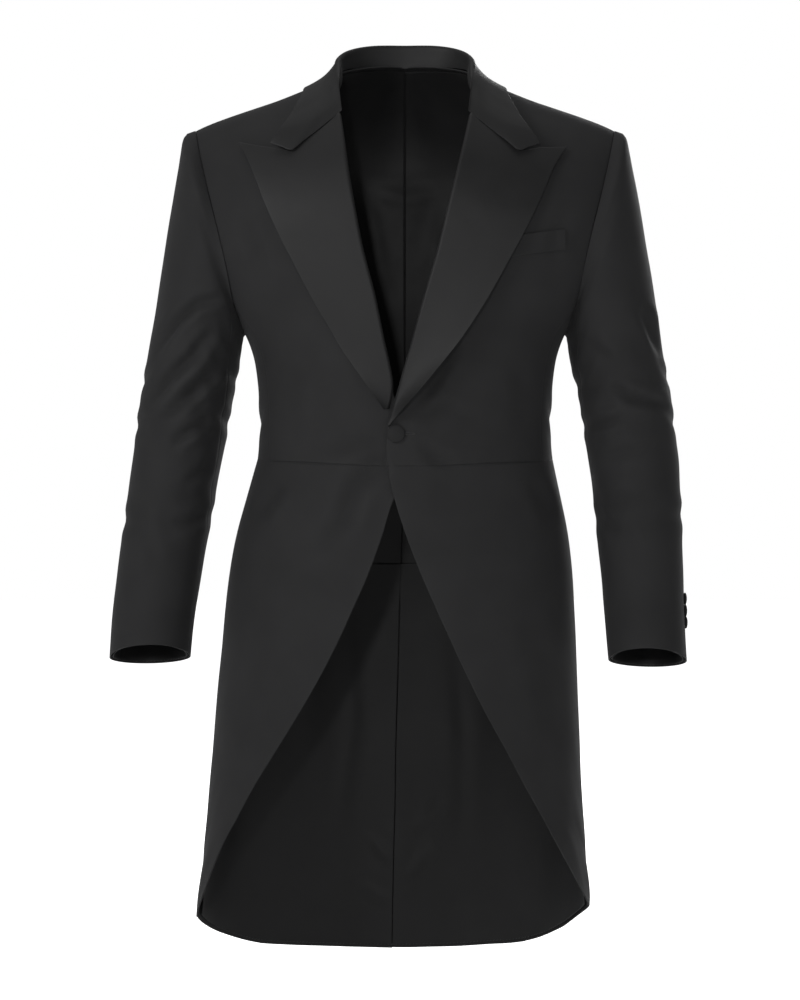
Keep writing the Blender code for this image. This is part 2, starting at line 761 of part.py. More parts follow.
def lapel_grid(side):
    """A peak lapel laid over a front, from its roll line to its free edge."""
    end = LAPEL_END_DROP[side]
    word = side_word(side)
    grid = []
    for row in range(LAPEL_ROWS + 1):
        down = row / LAPEL_ROWS
        line = []
        for share in LAPEL_ACROSS:
            top_across, top_drop = lapel_top(share, side)
            drop = mix(top_drop, end, down)
            roll = roll_across(drop, side)
            if side == RIGHT:
                roll = min(roll, roll_across(drop, LEFT) - LAPEL_TUCK)
            across = mix(roll, LAPEL_EDGE.at(word, drop), share)
            start = mix(roll_across(top_drop, side), LAPEL_EDGE.at(word, top_drop), share)
            across += (side * top_across - start) * (1 - down) ** LAPEL_TOP_FADE
            spot = front_spot(across, drop)
            lift = SATIN + LAPEL_LIFT + LAPEL_EDGE_LIFT * share + lap_raise(spot.point, side)
            spot.point += spot.normal * lift
            line.append(spot)
        grid.append(line)
    return grid


def collar_rows():
    """Sections round the neck, smoothed between the rows of the collar's table and mirrored."""
    steps = COLLAR_SECTION_STEPS
    half = []
    table = np.array(COLLAR.rows, float)
    count = len(table)
    for index in range(count - 1):
        before = table[max(index - 1, 0)].copy()
        if index == 0:
            before = table[1].copy()
            before[0::3] *= -1
        after = table[min(index + 2, count - 1)]
        for step in range(steps):
            share = step / steps
            square, cube = share ** 2, share ** 3
            row = 0.5 * ((2 * table[index]) + (table[index + 1] - before) * share
                         + (2 * before - 5 * table[index] + 4 * table[index + 1] - after) * square
                         + (3 * table[index] - before - 3 * table[index + 1] + after) * cube)
            half.append((index + share, row))
    half.append((count - 1, table[-1]))
    sections = []
    for place, row in reversed(half[1:]):
        turned = row.copy()
        turned[0::3] *= -1
        sections.append((place, turned))
    return sections + half


def collar_path(place, row):
    """One section of the collar: up the free side of the fall, over the fold, down the stand."""
    seam, fold, bend, edge = (Vector(row[first:first + 3]) for first in (0, 3, 6, 9))
    away = edge - seam
    away.z = 0
    away.normalize()
    stand_up = (fold - seam).normalized()
    fold_out = fold + away * COLLAR_FOLD_HALF
    fold_in = fold - away * COLLAR_FOLD_HALF
    fold_top = fold + stand_up * COLLAR_FOLD_RISE
    creased = between(place, COLLAR_CREASED_ROWS)
    bend_step = COLLAR_FALL_STEPS // 3
    path = []
    for step in range(COLLAR_FALL_STEPS + 1):
        share = step / COLLAR_FALL_STEPS
        soft = edge * (1 - share) ** 2 + bend * 2 * share * (1 - share) + fold_out * share ** 2
        if step <= bend_step:
            sharp = mix(edge, bend, step / bend_step)
        else:
            sharp = mix(bend, fold_out, (step - bend_step) / (COLLAR_FALL_STEPS - bend_step))
        path.append(soft.lerp(sharp, creased))
    path.append(fold_top)
    path.append(fold_in)
    for step in range(1, COLLAR_STAND_STEPS + 1):
        path.append(fold_in.lerp(seam - away * COLLAR_FOLD_HALF, step / COLLAR_STAND_STEPS))
    return path


def grid_normals(rows, closed=False):
    """Normals of a grid of points, from its neighbours."""
    height, width = len(rows), len(rows[0])
    normals = []
    for row in range(height):
        line = []
        for column in range(width):
            left = (column - 1) % width if closed else max(column - 1, 0)
            right = (column + 1) % width if closed else min(column + 1, width - 1)
            along = rows[row][right] - rows[row][left]
            down = rows[min(row + 1, height - 1)][column] - rows[max(row - 1, 0)][column]
            line.append(along.cross(down).normalized())
        normals.append(line)
    return normals


def make_collar():
    """Stand and fall in one folded wall round the neck."""
    rows = [collar_path(place, row) for place, row in collar_rows()]
    normals = grid_normals(rows)
    middle = len(rows) // 2
    if normals[middle][0].y < 0:
        normals = [[-way for way in line] for line in normals]
    return add_object("collar", wall(rows, normals, COLLAR_THICK), "satin")


def make_welt():
    """The welt of the chest pocket, on the left front."""
    top_left, top_right, bottom_right, bottom_left = WELT_CORNERS
    rows = []
    for row in range(WELT_ROWS + 1):
        line = []
        for column in range(WELT_COLUMNS + 1):
            share, down = column / WELT_COLUMNS, row / WELT_ROWS
            across = mix(mix(top_left[0], top_right[0], share), mix(bottom_left[0], bottom_right[0], share), down)
            drop = mix(mix(top_left[1], top_right[1], share), mix(bottom_left[1], bottom_right[1], share), down)
            spot = front_spot(across, drop)
            spot.point += spot.normal * (WELT_THICK + LAYER_GAP)
            line.append(spot)
        rows.append(line)
    return panel("chest_welt", rows, thickness=WELT_THICK)


# Sleeves


def armhole_ring(forepart, side_body, back):
    """Points round an armhole from the shoulder down the front, under the arm and up the back."""
    notch = SHOULDER_ROWS + 1
    front = [forepart[row][-1].point for row in range(notch + 1)]
    under = [side_body[0][column].point for column in range(1, SIDE_COLUMNS)]
    behind = [back[row][-1].point for row in range(notch, 0, -1)]
    return [point.copy() for point in front + under + behind]


def sleeve_sections(side, armhole):
    """Sections of an arm form from the armhole to the cuff, each with a point for each armhole point."""
    table = SLEEVE[side]
    last = table.rows[-1][0]

    def frame_at(place):
        """Centre, reach to the outer side and half depth of a section."""
        outer = Vector((side * table.at("outer_x", place), 0, -table.at("outer_drop", place)))
        inner = Vector((side * table.at("inner_x", place), 0, -table.at("inner_drop", place)))
        centre = (outer + inner) / 2 + Vector((0, table.at("middle_y", place), 0))
        return centre, (outer - inner) / 2, table.at("half_depth", place)

    first_centre, first_reach, first_depth = frame_at(0)
    angles = []
    for point in armhole:
        away = point - first_centre
        angles.append(math.atan2(-away.y / first_depth, away.z / first_reach.z))
    sections = []
    for step in range(last * SLEEVE_STEPS + 1):
        place = step / SLEEVE_STEPS
        centre, reach, depth = frame_at(place)
        twist = math.radians(SLEEVE_TWIST[side]) * smooth_step(place / last)
        tilt = CUFF_TILT * between(place / last, (CUFF_TILT_FROM, 1.0))
        keep = (1 - clamp(place / SLEEVE_BLEND_SECTIONS)) ** 2
        line = []
        for angle, point in zip(angles, armhole):
            now = angle + twist
            spot = centre + reach * math.cos(now) + Vector((0, -depth * math.sin(now), tilt * math.sin(now)))
            if keep > 0:
                base = first_centre + first_reach * math.cos(angle) - Vector((0, first_depth * math.sin(angle), 0))
                spot += (point - base) * keep
            if step == 0:
                spot.x += side * SLEEVE_CLEARANCE
            line.append(spot)
        sections.append(line)
    return sections, angles


def fold_depth(drop, angle, side):
    """Depth of the folds at a place on an arm."""
    total = 0.0
    for start_drop, start_angle, end_drop, end_angle, half_width, depth in SLEEVE_FOLDS[side].rows:
        sweep = (angle - start_angle) / (end_angle - start_angle)
        if not -FOLD_RUNOUT < sweep < 1 + FOLD_RUNOUT:
            continue
        middle = mix(start_drop, end_drop, sweep)
        ends = math.sin(math.pi * clamp((sweep + FOLD_RUNOUT) / (1 + 2 * FOLD_RUNOUT)))
        total += depth * ends * math.exp(-((drop - middle) / half_width) ** 2)
    return total


def folded(sections, angles, normals, side):
    """Lays the arm's folds into its sections."""
    last = len(sections) - 1
    result = []
    for index, (line, ways) in enumerate(zip(sections, normals)):
        away_from_ends = (smooth_step(index / FOLD_FREE_SECTIONS["armhole"])
                          * smooth_step((last - index) / FOLD_FREE_SECTIONS["cuff"]))
        moved = []
        for angle, point, way in zip(angles, line, ways):
            turn = math.degrees(angle) % 360
            moved.append(point + way * fold_depth(-point.z, turn, side) * away_from_ends)
        result.append(moved)
    return result


def outward_normals(rows):
    """Grid normals of a closed sleeve, turned away from the middle of each section."""
    normals = grid_normals(rows, closed=True)
    middle_row = len(rows) // 2
    centre = sum(rows[middle_row], Vector()) / len(rows[middle_row])
    if normals[middle_row][0].dot(rows[middle_row][0] - centre) < 0:
        normals = [[-way for way in line] for line in normals]
    return normals


def make_sleeve(side, armhole, seam_back, seam_front):
    """Top sleeve, under sleeve, cuff lining and cuff buttons of one arm."""
    sections, angles = sleeve_sections(side, armhole)
    normals = outward_normals(sections)
    sections = folded(sections, angles, normals, side)
    normals = outward_normals(sections)
    count = len(armhole)
    top = [index % count for index in range(seam_back - count, seam_front + 1)]
    under = list(range(seam_front, seam_back + 1))
    for name, columns in (("top_sleeve", top), ("under_sleeve", under)):
        rows = [[line[column].copy() for column in columns] for line in sections]
        ways = [[line[column] for column in columns] for line in normals]
        for row in rows:
            row[0] += (row[1] - row[0]).normalized() * SEAM_GAP / 2
            row[-1] += (row[-2] - row[-1]).normalized() * SEAM_GAP / 2
        add_object(side_name(name, side), wall(rows, ways, CLOTH), "cloth")
    make_cuff_lining(side, sections, normals)
    make_cuff_buttons(side, sections, normals, seam_back)


def make_cuff_lining(side, sections, normals):
    """A ring of lining just inside a cuff."""
    spacing = (sections[-2][0] - sections[-1][0]).length
    rows = []
    ways = []
    levels = (CUFF_LINING_HEIGHT, CUFF_LINING_HEIGHT / 2, CUFF_LINING_SHY)
    for level in levels:
        place = len(sections) - 1 - level / spacing
        lower = min(int(place), len(sections) - 2)
        share = place - lower
        line = []
        turned = []
        for index in range(len(sections[0])):
            point = sections[lower][index].lerp(sections[lower + 1][index], share)
            way = normals[lower][index].lerp(normals[lower + 1][index], share).normalized()
            line.append(point - way * (CLOTH + LAYER_GAP))
            turned.append(way)
        rows.append(line)
        ways.append(turned)
    add_object(side_name("cuff_lining", side), wall(rows, ways, LINING, closed=True), "lining")


def turned_button(radius, thick):
    """A domed, cloth-covered button lying in XY with its back at z = 0."""
    mesh = bmesh.new()
    rings = []
    turns = [2 * math.pi * step / BUTTON_SEGMENTS for step in range(BUTTON_SEGMENTS)]
    for width_share, height_share in BUTTON_PROFILE:
        reach = width_share * radius * MM
        height = height_share * thick * MM
        rings.append([mesh.verts.new((reach * math.cos(turn), reach * math.sin(turn), height)) for turn in turns])
    bottom = mesh.verts.new((0, 0, 0))
    top = mesh.verts.new((0, 0, thick * MM))
    for step in range(BUTTON_SEGMENTS):
        after = (step + 1) % BUTTON_SEGMENTS
        mesh.faces.new((bottom, rings[0][after], rings[0][step]))
        mesh.faces.new((top, rings[-1][step], rings[-1][after]))
        for low, high in zip(rings, rings[1:]):
            mesh.faces.new((low[step], low[after], high[after], high[step]))
    return mesh


def place_button(name, point, normal, radius, thick):
    """Seats a button on a surface point."""
    mesh = turned_button(radius, thick)
    turn = normal.to_track_quat("Z", "Y").to_matrix().to_4x4()
    seat = Matrix.Translation((point + normal * LAYER_GAP) * MM)
    bmesh.ops.transform(mesh, matrix=seat @ turn, verts=mesh.verts)
    return add_object(name, mesh, "button")


def make_cuff_buttons(side, sections, normals, seam_back):
    """Three touching buttons up the back seam of a sleeve, on its top sleeve."""
    count = len(sections[0])
    here = seam_back % count
    after = (seam_back + 1) % count
    for number in range(CUFF_BUTTON_COUNT):
        above = CUFF_BUTTON["first_from_cuff"] + number * CUFF_BUTTON["spacing"]
        spacing = (sections[-2][here] - sections[-1][here]).length
        place = len(sections) - 1 - above / spacing
        row = int(place)
        share = place - row
        seam = sections[row][here].lerp(sections[row + 1][here], share)
        beside = sections[row][after].lerp(sections[row + 1][after], share)
        way = normals[row][here].lerp(normals[row + 1][here], share).normalized()
        step = beside - seam
        point = seam + step.normalized() * CUFF_BUTTON["from_seam"]
        facet = (step.cross(sections[row + 1][here] - sections[row][here])).normalized()
        if facet.dot(way) < 0:
            facet = -facet
        name = side_name("cuff_button", side) + "_" + str(number + 1)
        place_button(name, point, facet, CUFF_BUTTON["radius"], CUFF_BUTTON["thick"])


# Linings of the back and the tails


def make_back_lining():
    """Lining of the back across both halves, from the neck to below the waist."""
    halves = {}
    for side in (LEFT, RIGHT):
        halves[side] = back_grid(side, last_drop=BACK_LINING_END, lap=False)
    rows = []
    for left, right in zip(halves[LEFT], halves[RIGHT]):
        rows.append(list(reversed(right[1:])) + left)
    keep = SHOULDER_ROWS + UNDERARM_ROWS + 2
    lower = [rows[keep - 1 + step] for step in BACK_LINING_TAIL_ROWS]
    rows = rows[:keep] + lower
    inset = pulled_in(rows, gap=BACK_LINING_INSET)
    return panel("back_lining", inset, finish="lining", thickness=LINING, lift=-(CLOTH + BACK_LINING_GAP))


def make_tail_lining(side):
    """Lining of one tail, from the back lining to the hem."""
    rows = []
    for row in range(TAIL_LINING_ROWS + 1):
        line = []
        for column in range(TAIL_LINING_COLUMNS + 1):
            angle = mix(*TAIL_LINING_ANGLES, column / TAIL_LINING_COLUMNS)
            start = BACK_LINING_END - TAIL_LINING_LAP
            drop = mix(start, hem_drop(angle) - HEM_SHY, row / TAIL_LINING_ROWS)
            line.append(Spot(angle=side * angle, drop=drop))
        rows.append(line)
    return panel(side_name("tail_lining", side), rows, finish="lining", thickness=LINING,
                 lift=-(CLOTH + LINING_GAP))


def make_front_button():
    """The one covered button that closes the left front over the right."""
    spot = front_spot(FRONT_BUTTON["across"], FRONT_BUTTON["drop"])
    point = spot.point + spot.normal * lap_raise(spot.point, LEFT)
    return place_button("front_button", point, spot.normal, FRONT_BUTTON["radius"], FRONT_BUTTON["thick"])


def make_side(side):
    """All panels of one side of the coat."""
    forepart = forepart_grid(side)
    side_body = side_body_grid(side)
    back = back_grid(side)
    armhole = armhole_ring(forepart, side_body, back)
    front_seam = SHOULDER_ROWS + 1
    back_seam = len(armhole) - SLEEVE_BACK_SEAM_POINTS
    make_sleeve(side, armhole, back_seam, front_seam)
    panel(side_name("forepart", side), pulled_in(forepart))
    panel(side_name("side_body", side), pulled_in(side_body))
    panel(side_name("back", side), pulled_in(back))
    panel(side_name("skirt", side), pulled_in(skirt_grid(side), gap=1.5 * SEAM_GAP))
    panel(side_name("lapel", side), lapel_grid(side), finish="satin", thickness=SATIN)
    make_tail_lining(side)


def main():
    clear_scene()
    for side in (LEFT, RIGHT):
        make_side(side)
    make_collar()
    make_back_lining()
    make_welt()
    make_front_button()


main()
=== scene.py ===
"""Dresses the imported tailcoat: cloth shells with folds, rolled lapels, buttons, stitches and the stage."""

import math

import bmesh
import bpy
import numpy as np
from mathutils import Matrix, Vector
from mathutils.bvhtree import BVHTree


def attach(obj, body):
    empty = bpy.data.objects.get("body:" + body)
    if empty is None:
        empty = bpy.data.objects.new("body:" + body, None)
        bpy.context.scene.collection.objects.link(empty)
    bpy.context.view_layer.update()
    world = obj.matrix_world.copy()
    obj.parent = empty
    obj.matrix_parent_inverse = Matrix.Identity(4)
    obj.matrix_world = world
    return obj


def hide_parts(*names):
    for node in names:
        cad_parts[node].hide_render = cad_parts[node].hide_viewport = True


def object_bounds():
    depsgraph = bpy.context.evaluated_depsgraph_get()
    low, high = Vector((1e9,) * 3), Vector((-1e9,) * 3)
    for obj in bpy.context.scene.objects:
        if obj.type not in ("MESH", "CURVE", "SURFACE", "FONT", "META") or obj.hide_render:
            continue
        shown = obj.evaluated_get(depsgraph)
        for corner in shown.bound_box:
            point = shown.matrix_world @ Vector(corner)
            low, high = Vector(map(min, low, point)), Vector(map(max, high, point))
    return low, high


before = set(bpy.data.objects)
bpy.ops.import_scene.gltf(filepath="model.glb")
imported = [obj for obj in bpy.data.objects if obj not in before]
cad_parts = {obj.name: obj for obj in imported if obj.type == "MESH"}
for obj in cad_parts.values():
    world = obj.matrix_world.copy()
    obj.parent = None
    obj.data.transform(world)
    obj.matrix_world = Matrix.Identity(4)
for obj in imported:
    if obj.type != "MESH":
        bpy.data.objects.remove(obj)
CAD_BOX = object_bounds()

bl_info = {
    "name": "Tailcoat with a cutaway front",
    "version": (1, 0, 0),
    "blender": (4, 5, 0),
    "location": "3D View > Sidebar > Tailcoat",
    "description": "Makes the cloth, linings, buttons and stitches of a tailcoat on its packed solids",
    "category": "Object",
}

MM = 0.001
SIDES = ("left", "right")
OUTWARDS = {"left": 1.0, "right": -1.0}

# Rows, columns and thickness in mm of the grid of points in each CAD wall
WALLS = {
    "forepart": (13, 10, 2.0),
    "side_body": (6, 6, 2.0),
    "back": (25, 9, 2.0),
    "skirt": (13, 12, 2.0),
    "lapel": (14, 9, 2.0),
    "collar": (29, 12, 1.8),
    "chest_welt": (3, 7, 1.1),
    "top_sleeve": (27, 12, 2.0),
    "under_sleeve": (27, 9, 2.0),
    "back_lining": (16, 17, 0.9),
    "tail_lining": (9, 13, 0.9),
}

# Measures that grow down the rows and along the columns of a wall
MEASURES = {
    "down": lambda points: -points[..., 2],
    "out": lambda points: np.abs(points[..., 0]),
    "left": lambda points: points[..., 0],
    "back": lambda points: points[..., 1],
    "forward": lambda points: -points[..., 1],
    "in": lambda points: -np.hypot(points[..., 0], points[..., 1]),
}
WALL_ORDER = {
    "collar": ("left", "in"),
    "top_sleeve": ("down", "forward"),
    "under_sleeve": ("down", "back"),
    "back_lining": ("down", "left"),
}
ARM_LINE = ((217.0, 0.0, 177.0), (292.0, -50.0, 660.0))
MERGE_DISTANCE = 2e-6
MATE_TOLERANCE = 5e-7

# Steps in mm beside a stitched seam inside a wall
CREASE_OFFSETS = (-2.2, -1.3, -0.8, -0.4, 0.4, 0.8, 1.3, 2.2)

# Settling of the cloth in mm: by distance from the middle beside the neck, and by side step at the hem.
# The shoulder line is the drop of the ridge at the middle and its slope.
SHOULDER_LINE = (-53.0, 0.435)
SHOULDER_SETTLING = ((0, 0.8), (60, 0.8), (76, 1.5), (84, 3.4), (95, 6.0), (118, 6.6), (150, 5.4),
                     (175, 3.0), (205, 0.0), (234, -1.6), (262, 0.0))
HEM_SETTLING = ((-240, 0.0), (-215, 2.0), (-184, 4.6), (-150, 2.0), (-100, 0.0), (100, 0.0), (142, 2.4),
                (165, 0.0), (193, -6.0), (212, -13.0), (225, -15.0))

# The lapel's columns at its notch and at the middle of its peak
LAPEL_NOTCH_COLUMN = 4
LAPEL_CORNERS = (4, 6)

# Angles in degrees round a lapel's roll, and the places across the facing behind it, as shares of its width.
# The facing grows between the first and the second width of the lapel, in m.
ROLL_ANGLES = (270, 247, 225, 202, 180, 157, 135, 112)
FACING_PLACES = (1.0, 0.75, 0.5, 0.25, 0.08)
FACING_GROWS = (0.008, 0.030)

# Drops in mm between which a lapel's edge begins to stand off and lies down again, and between which the
# foreparts' edges come out from behind the lapels' rolls
LIFT_DROPS = {"left": (105.0, 345.0), "right": (300.0, 520.0)}
LIFT_END_DROPS = (402.0, 378.0)
ROLL_END_DROPS = (392.0, 410.0)

# The collar's column at its fold, how far its free edge and its ends are laid down in mm, by column and by
# row, and the drops between which its stand goes behind its fold and its tuck grows
COLLAR_FOLD_COLUMN = 6
COLLAR_EDGE_SINKS = (1.1, 0.7, 0.3)
COLLAR_END_SINKS = {0: 0.7, 1: 0.35, 27: 0.35, 28: 0.7}
STAND_DROPS = (-20.0, 20.0)
STAND_TUCK_DROPS = (-20.0, 5.0)

# The back lining's column at its centre seam, the backs' row at the waist, the left back's rows between
# which the vent's lap starts, and the drops in mm between which the backs' centre edges reach further
LINING_SEAM_COLUMN = 8
WAIST_ROW = 12
VENT_ROWS = (15, 16)
CENTRE_REACH_DROPS = ((520.0, 556.0), (612.0, 640.0))

# The cuff lining's strip, as heights in m over the cuff's edge
CUFF_STRIP = (0.0012, 0.050)

# How far cloth faces a view, from where a fold placed in that view begins to where it has its full depth
FACING_LIMITS = (0.05, 0.45)

# Folds in mm. "front" places are across and drop as the camera sees them, the other views look straight on.
FOLDS = (
    # cloth, view, half width, depth, places
    ("sleeve", "front", 6.0, 6.2, ((-214, 251), (-245, 257), (-267, 276), (-299, 319))),
    ("sleeve", "front", 7.0, 6.2, ((-222, 288), (-232, 295), (-253, 321), (-277, 343), (-307, 380))),
    ("sleeve", "front", 6.5, 5.8, ((-216, 331), (-237, 348), (-269, 378), (-290, 391))),
    ("sleeve", "front", 6.0, 4.8, ((-230, 397), (-250, 405), (-275, 421))),
    ("sleeve", "front", 6.0, 2.2, ((-226, 438), (-238, 455), (-262, 470))),
    ("sleeve", "front", 7.0, 1.8, ((-234, 508), (-252, 515), (-275, 516))),
    ("sleeve", "front", 9.0, 1.6, ((-318, 470), (-312, 520), (-296, 570))),
    ("sleeve", "front", 6.5, 6.2, ((278, 262), (290, 285), (308, 326))),
    ("sleeve", "front", 6.0, 5.2, ((240, 355), (268, 369), (312, 378))),
    ("sleeve", "front", 5.5, 3.4, ((220, 404), (244, 396), (262, 394))),
    ("sleeve", "front", 7.0, 2.2, ((228, 440), (262, 434), (300, 427))),
    ("sleeve", "front", 8.0, 1.8, ((236, 500), (262, 488), (296, 484))),
    ("sleeve", "front", 7.0, 2.0, ((214, 300), (232, 318), (252, 326))),
    ("sleeve", "back", 7.0, 3.0, ((-220, 300), (-250, 330), (-292, 352))),
    ("sleeve", "back", 7.0, 3.2, ((-226, 372), (-262, 392), (-306, 398))),
    ("sleeve", "back", 6.5, 2.6, ((-232, 446), (-270, 440), (-312, 424))),
    ("sleeve", "back", 8.0, 1.8, ((-244, 520), (-276, 508), (-312, 500))),
    ("sleeve", "back", 7.0, 3.0, ((220, 296), (252, 322), (294, 346))),
    ("sleeve", "back", 7.0, 3.2, ((224, 380), (262, 396), (308, 394))),
    ("sleeve", "back", 6.5, 2.4, ((232, 452), (268, 440), (308, 430))),
    ("sleeve", "back", 8.0, 1.8, ((240, 530), (270, 512), (306, 506))),
    ("sleeve", "left", 7.0, 1.4, ((-48, 322), (-8, 346), (40, 352))),
    ("sleeve", "left", 7.0, 1.5, ((-50, 380), (0, 402), (44, 396))),
    ("sleeve", "left", 8.0, 1.6, ((-70, 520), (-30, 508), (16, 506))),
    ("sleeve", "right", 7.0, 1.4, ((-46, 330), (-6, 352), (42, 360))),
    ("sleeve", "right", 7.0, 1.5, ((-48, 392), (-4, 404), (42, 400))),
    ("sleeve", "right", 8.0, 1.6, ((-72, 536), (-30, 516), (14, 510))),
    ("body", "front", 11.0, 4.4, ((-22, 432), (-38, 452), (-58, 471), (-72, 510), (-98, 548))),
    ("body", "front", 3.6, 1.6, ((-26, 438), (-22, 452), (-17, 466))),
    ("under", "front", 8.0, 5.5, ((66, 298), (38, 344), (8, 386))),
    ("body", "front", 8.0, 2.2, ((16, 424), (36, 440), (62, 447))),
    ("body", "front", 8.0, 2.0, ((-30, 416), (-60, 420), (-96, 436))),
    ("body", "front", 8.0, 2.0, ((12, 398), (34, 384), (66, 378))),
    ("body", "front", 9.0, 3.0, ((-146, 470), (-159, 488), (-180, 516))),
    ("body", "front", 9.0, 2.6, ((148, 466), (163, 490), (178, 522))),
    ("body", "front", 10.0, 1.2, ((24, 402), (60, 392), (108, 398))),
    ("body", "front", 10.0, 1.4, ((-120, 330), (-136, 368), (-132, 410))),
    ("body", "front", 10.0, 1.3, ((126, 322), (140, 366), (134, 408))),
    ("body", "front", 14.0, 1.5, ((-150, 560), (-168, 680), (-190, 800))),
    ("body", "front", 14.0, 1.4, ((140, 580), (166, 700), (184, 830))),
    ("body", "front", 8.0, 1.4, ((-196, 150), (-176, 196), (-166, 240))),
    ("body", "front", 8.0, 1.2, ((196, 136), (178, 178), (174, 214))),
    ("body", "back", 9.0, 1.8, ((-150, 250), (-118, 300), (-104, 352))),
    ("body", "back", 9.0, 1.6, ((152, 244), (122, 296), (110, 344))),
    ("body", "back", 10.0, 2.0, ((-30, 404), (-70, 412), (-122, 402))),
    ("body", "back", 10.0, 1.8, ((24, 418), (66, 426), (124, 414))),
    ("body", "back", 9.0, 1.4, ((-54, 110), (0, 122), (58, 112))),
    ("body", "back", 13.0, 1.6, ((-92, 520), (-112, 640), (-124, 800))),
    ("body", "back", 13.0, 1.5, ((96, 540), (110, 660), (128, 820))),
    ("body", "left", 9.0, 1.6, ((-40, 372), (-4, 396), (52, 402))),
    ("body", "right", 9.0, 1.6, ((-42, 380), (-2, 402), (54, 406))),
    ("lining", "back", 9.0, 1.4, ((-60, 96), (-40, 150), (-24, 240))),
    ("lining", "back", 9.0, 1.2, ((62, 100), (38, 170), (26, 260))),
    ("lining", "back", 6.0, 1.6, ((-44, 900), (-26, 924), (-12, 936))),
    ("lining", "back", 6.0, 1.6, ((32, 912), (16, 938), (4, 954))),
    ("lining", "back", 7.0, 1.2, ((-54, 960), (-32, 978), (-12, 982))),
    ("lining", "back", 7.0, 1.2, ((50, 850), (30, 880), (6, 896))),
    ("lining", "back", 10.0, 1.4, ((-70, 620), (-64, 760), (-82, 900))),
    ("lining", "back", 10.0, 1.4, ((60, 640), (72, 780), (70, 930))),
)

# Heights of the ridges on the two sides of a fold, as shares of its depth
RIDGES = {"sleeve": (0.70, 0.35), "body": (0.55, 0.30), "lining": (0.2, 0.2), "under": (0.3, 0.0)}

# Drops in mm between which the skirt's soft flutes grow, and their depth in mm
FLUTE_DROPS = (560.0, 1040.0)
FLUTE_DEPTH = 2.4

# Buttons: profile as shares of the radius and the thickness, from the middle of the back to that of the dome
DOME = ((0.0, 0.0), (0.80, 0.0), (0.90, 0.04), (0.97, 0.16), (1.0, 0.34), (0.985, 0.50), (0.93, 0.63),
        (0.87, 0.70), (0.82, 0.735), (0.74, 0.80), (0.60, 0.88), (0.42, 0.95), (0.22, 0.99), (0.0, 1.0))
DOME_SEGMENTS = 48

# The buttonhole's middle and half sizes, across and down, in mm, and the steps round it
BUTTONHOLE_MIDDLE = (0.5, 414.0)
BUTTONHOLE_HALF = (10.5, 1.0)
BUTTONHOLE_STEPS = 40

# Places and widths of the lights in m, and the point that they look at
LIGHTS = {
    "key": ((-2.3, -2.3, 1.1), 1.3),
    "front": ((-0.36, -3.9, 0.1), 0.16),
    "fill": ((2.6, -2.6, 0.1), 2.2),
    "top": ((0.0, 0.5, 2.6), 2.4),
    "back": ((1.6, 3.2, 0.9), 1.6),
}
LIGHTS_LOOK_AT = (0.0, 0.0, -0.5)
FLOOR_SEGMENTS = 96


class ClothSizes(bpy.types.PropertyGroup):
    """Sizes of the cloth and of how it is laid."""

    shell_thickness: bpy.props.FloatProperty(
        name="Cloth thickness", description="Thickness of a shell panel", default=0.0016, unit="LENGTH")
    satin_thickness: bpy.props.FloatProperty(
        name="Satin thickness", description="Thickness of the lapel facing", default=0.0012, unit="LENGTH")
    lining_thickness: bpy.props.FloatProperty(
        name="Lining thickness", description="Thickness of a lining", default=0.0007, unit="LENGTH")
    welt_thickness: bpy.props.FloatProperty(
        name="Welt thickness", description="Thickness of the chest pocket's welt", default=0.0011,
        unit="LENGTH")
    mesh_step: bpy.props.FloatProperty(
        name="Mesh step", description="Largest step between points of the cloth", default=0.0045,
        unit="LENGTH")
    seam_reach: bpy.props.FloatProperty(
        name="Seam reach", description="How far a panel runs into a seam", default=0.0004, unit="LENGTH")
    tuck_reach: bpy.props.FloatProperty(
        name="Tuck reach", description="How far a seam allowance runs under its neighbour", default=0.004,
        unit="LENGTH")
    tuck_sink: bpy.props.FloatProperty(
        name="Tuck sink", description="How deep a seam allowance lies", default=0.0010, unit="LENGTH")
    seam_groove: bpy.props.FloatProperty(
        name="Seam groove", description="Depth of a stitched seam inside a wall", default=0.0007,
        unit="LENGTH")
    cuff_rise: bpy.props.FloatProperty(
        name="Cuff rise", description="How far the whole cuff edge is drawn up", default=0.0022,
        unit="LENGTH")
    cuff_front_rise: bpy.props.FloatProperty(
        name="Cuff front rise", description="How far the front of the cuff edge is drawn up besides",
        default=0.0075, unit="LENGTH")
    cuff_gap: bpy.props.FloatProperty(
        name="Cuff gap", description="Gap between the cuff and its lining at the edge", default=0.0014,
        unit="LENGTH")
    fold_strength: bpy.props.FloatProperty(
        name="Fold strength", description="Share of the full depth of all folds", default=1.0,
        subtype="FACTOR")
    sleeve_head: bpy.props.FloatProperty(
        name="Sleeve head", description="Height of the roll beside the armhole seam", default=0.0014,
        unit="LENGTH")


class LapelSizes(bpy.types.PropertyGroup):
    """Sizes of the lapels' rolled edges."""

    roll_radius: bpy.props.FloatProperty(
        name="Roll radius", description="Radius of the lapel's roll", default=0.0033, unit="LENGTH")
    facing_width: bpy.props.FloatProperty(
        name="Facing width", description="How far the facing runs back inside the front", default=0.013,
        unit="LENGTH")
    edge_lift: bpy.props.FloatProperty(
        name="Edge lift", description="How far the lower free edge stands off the front", default=0.0140,
        unit="LENGTH")


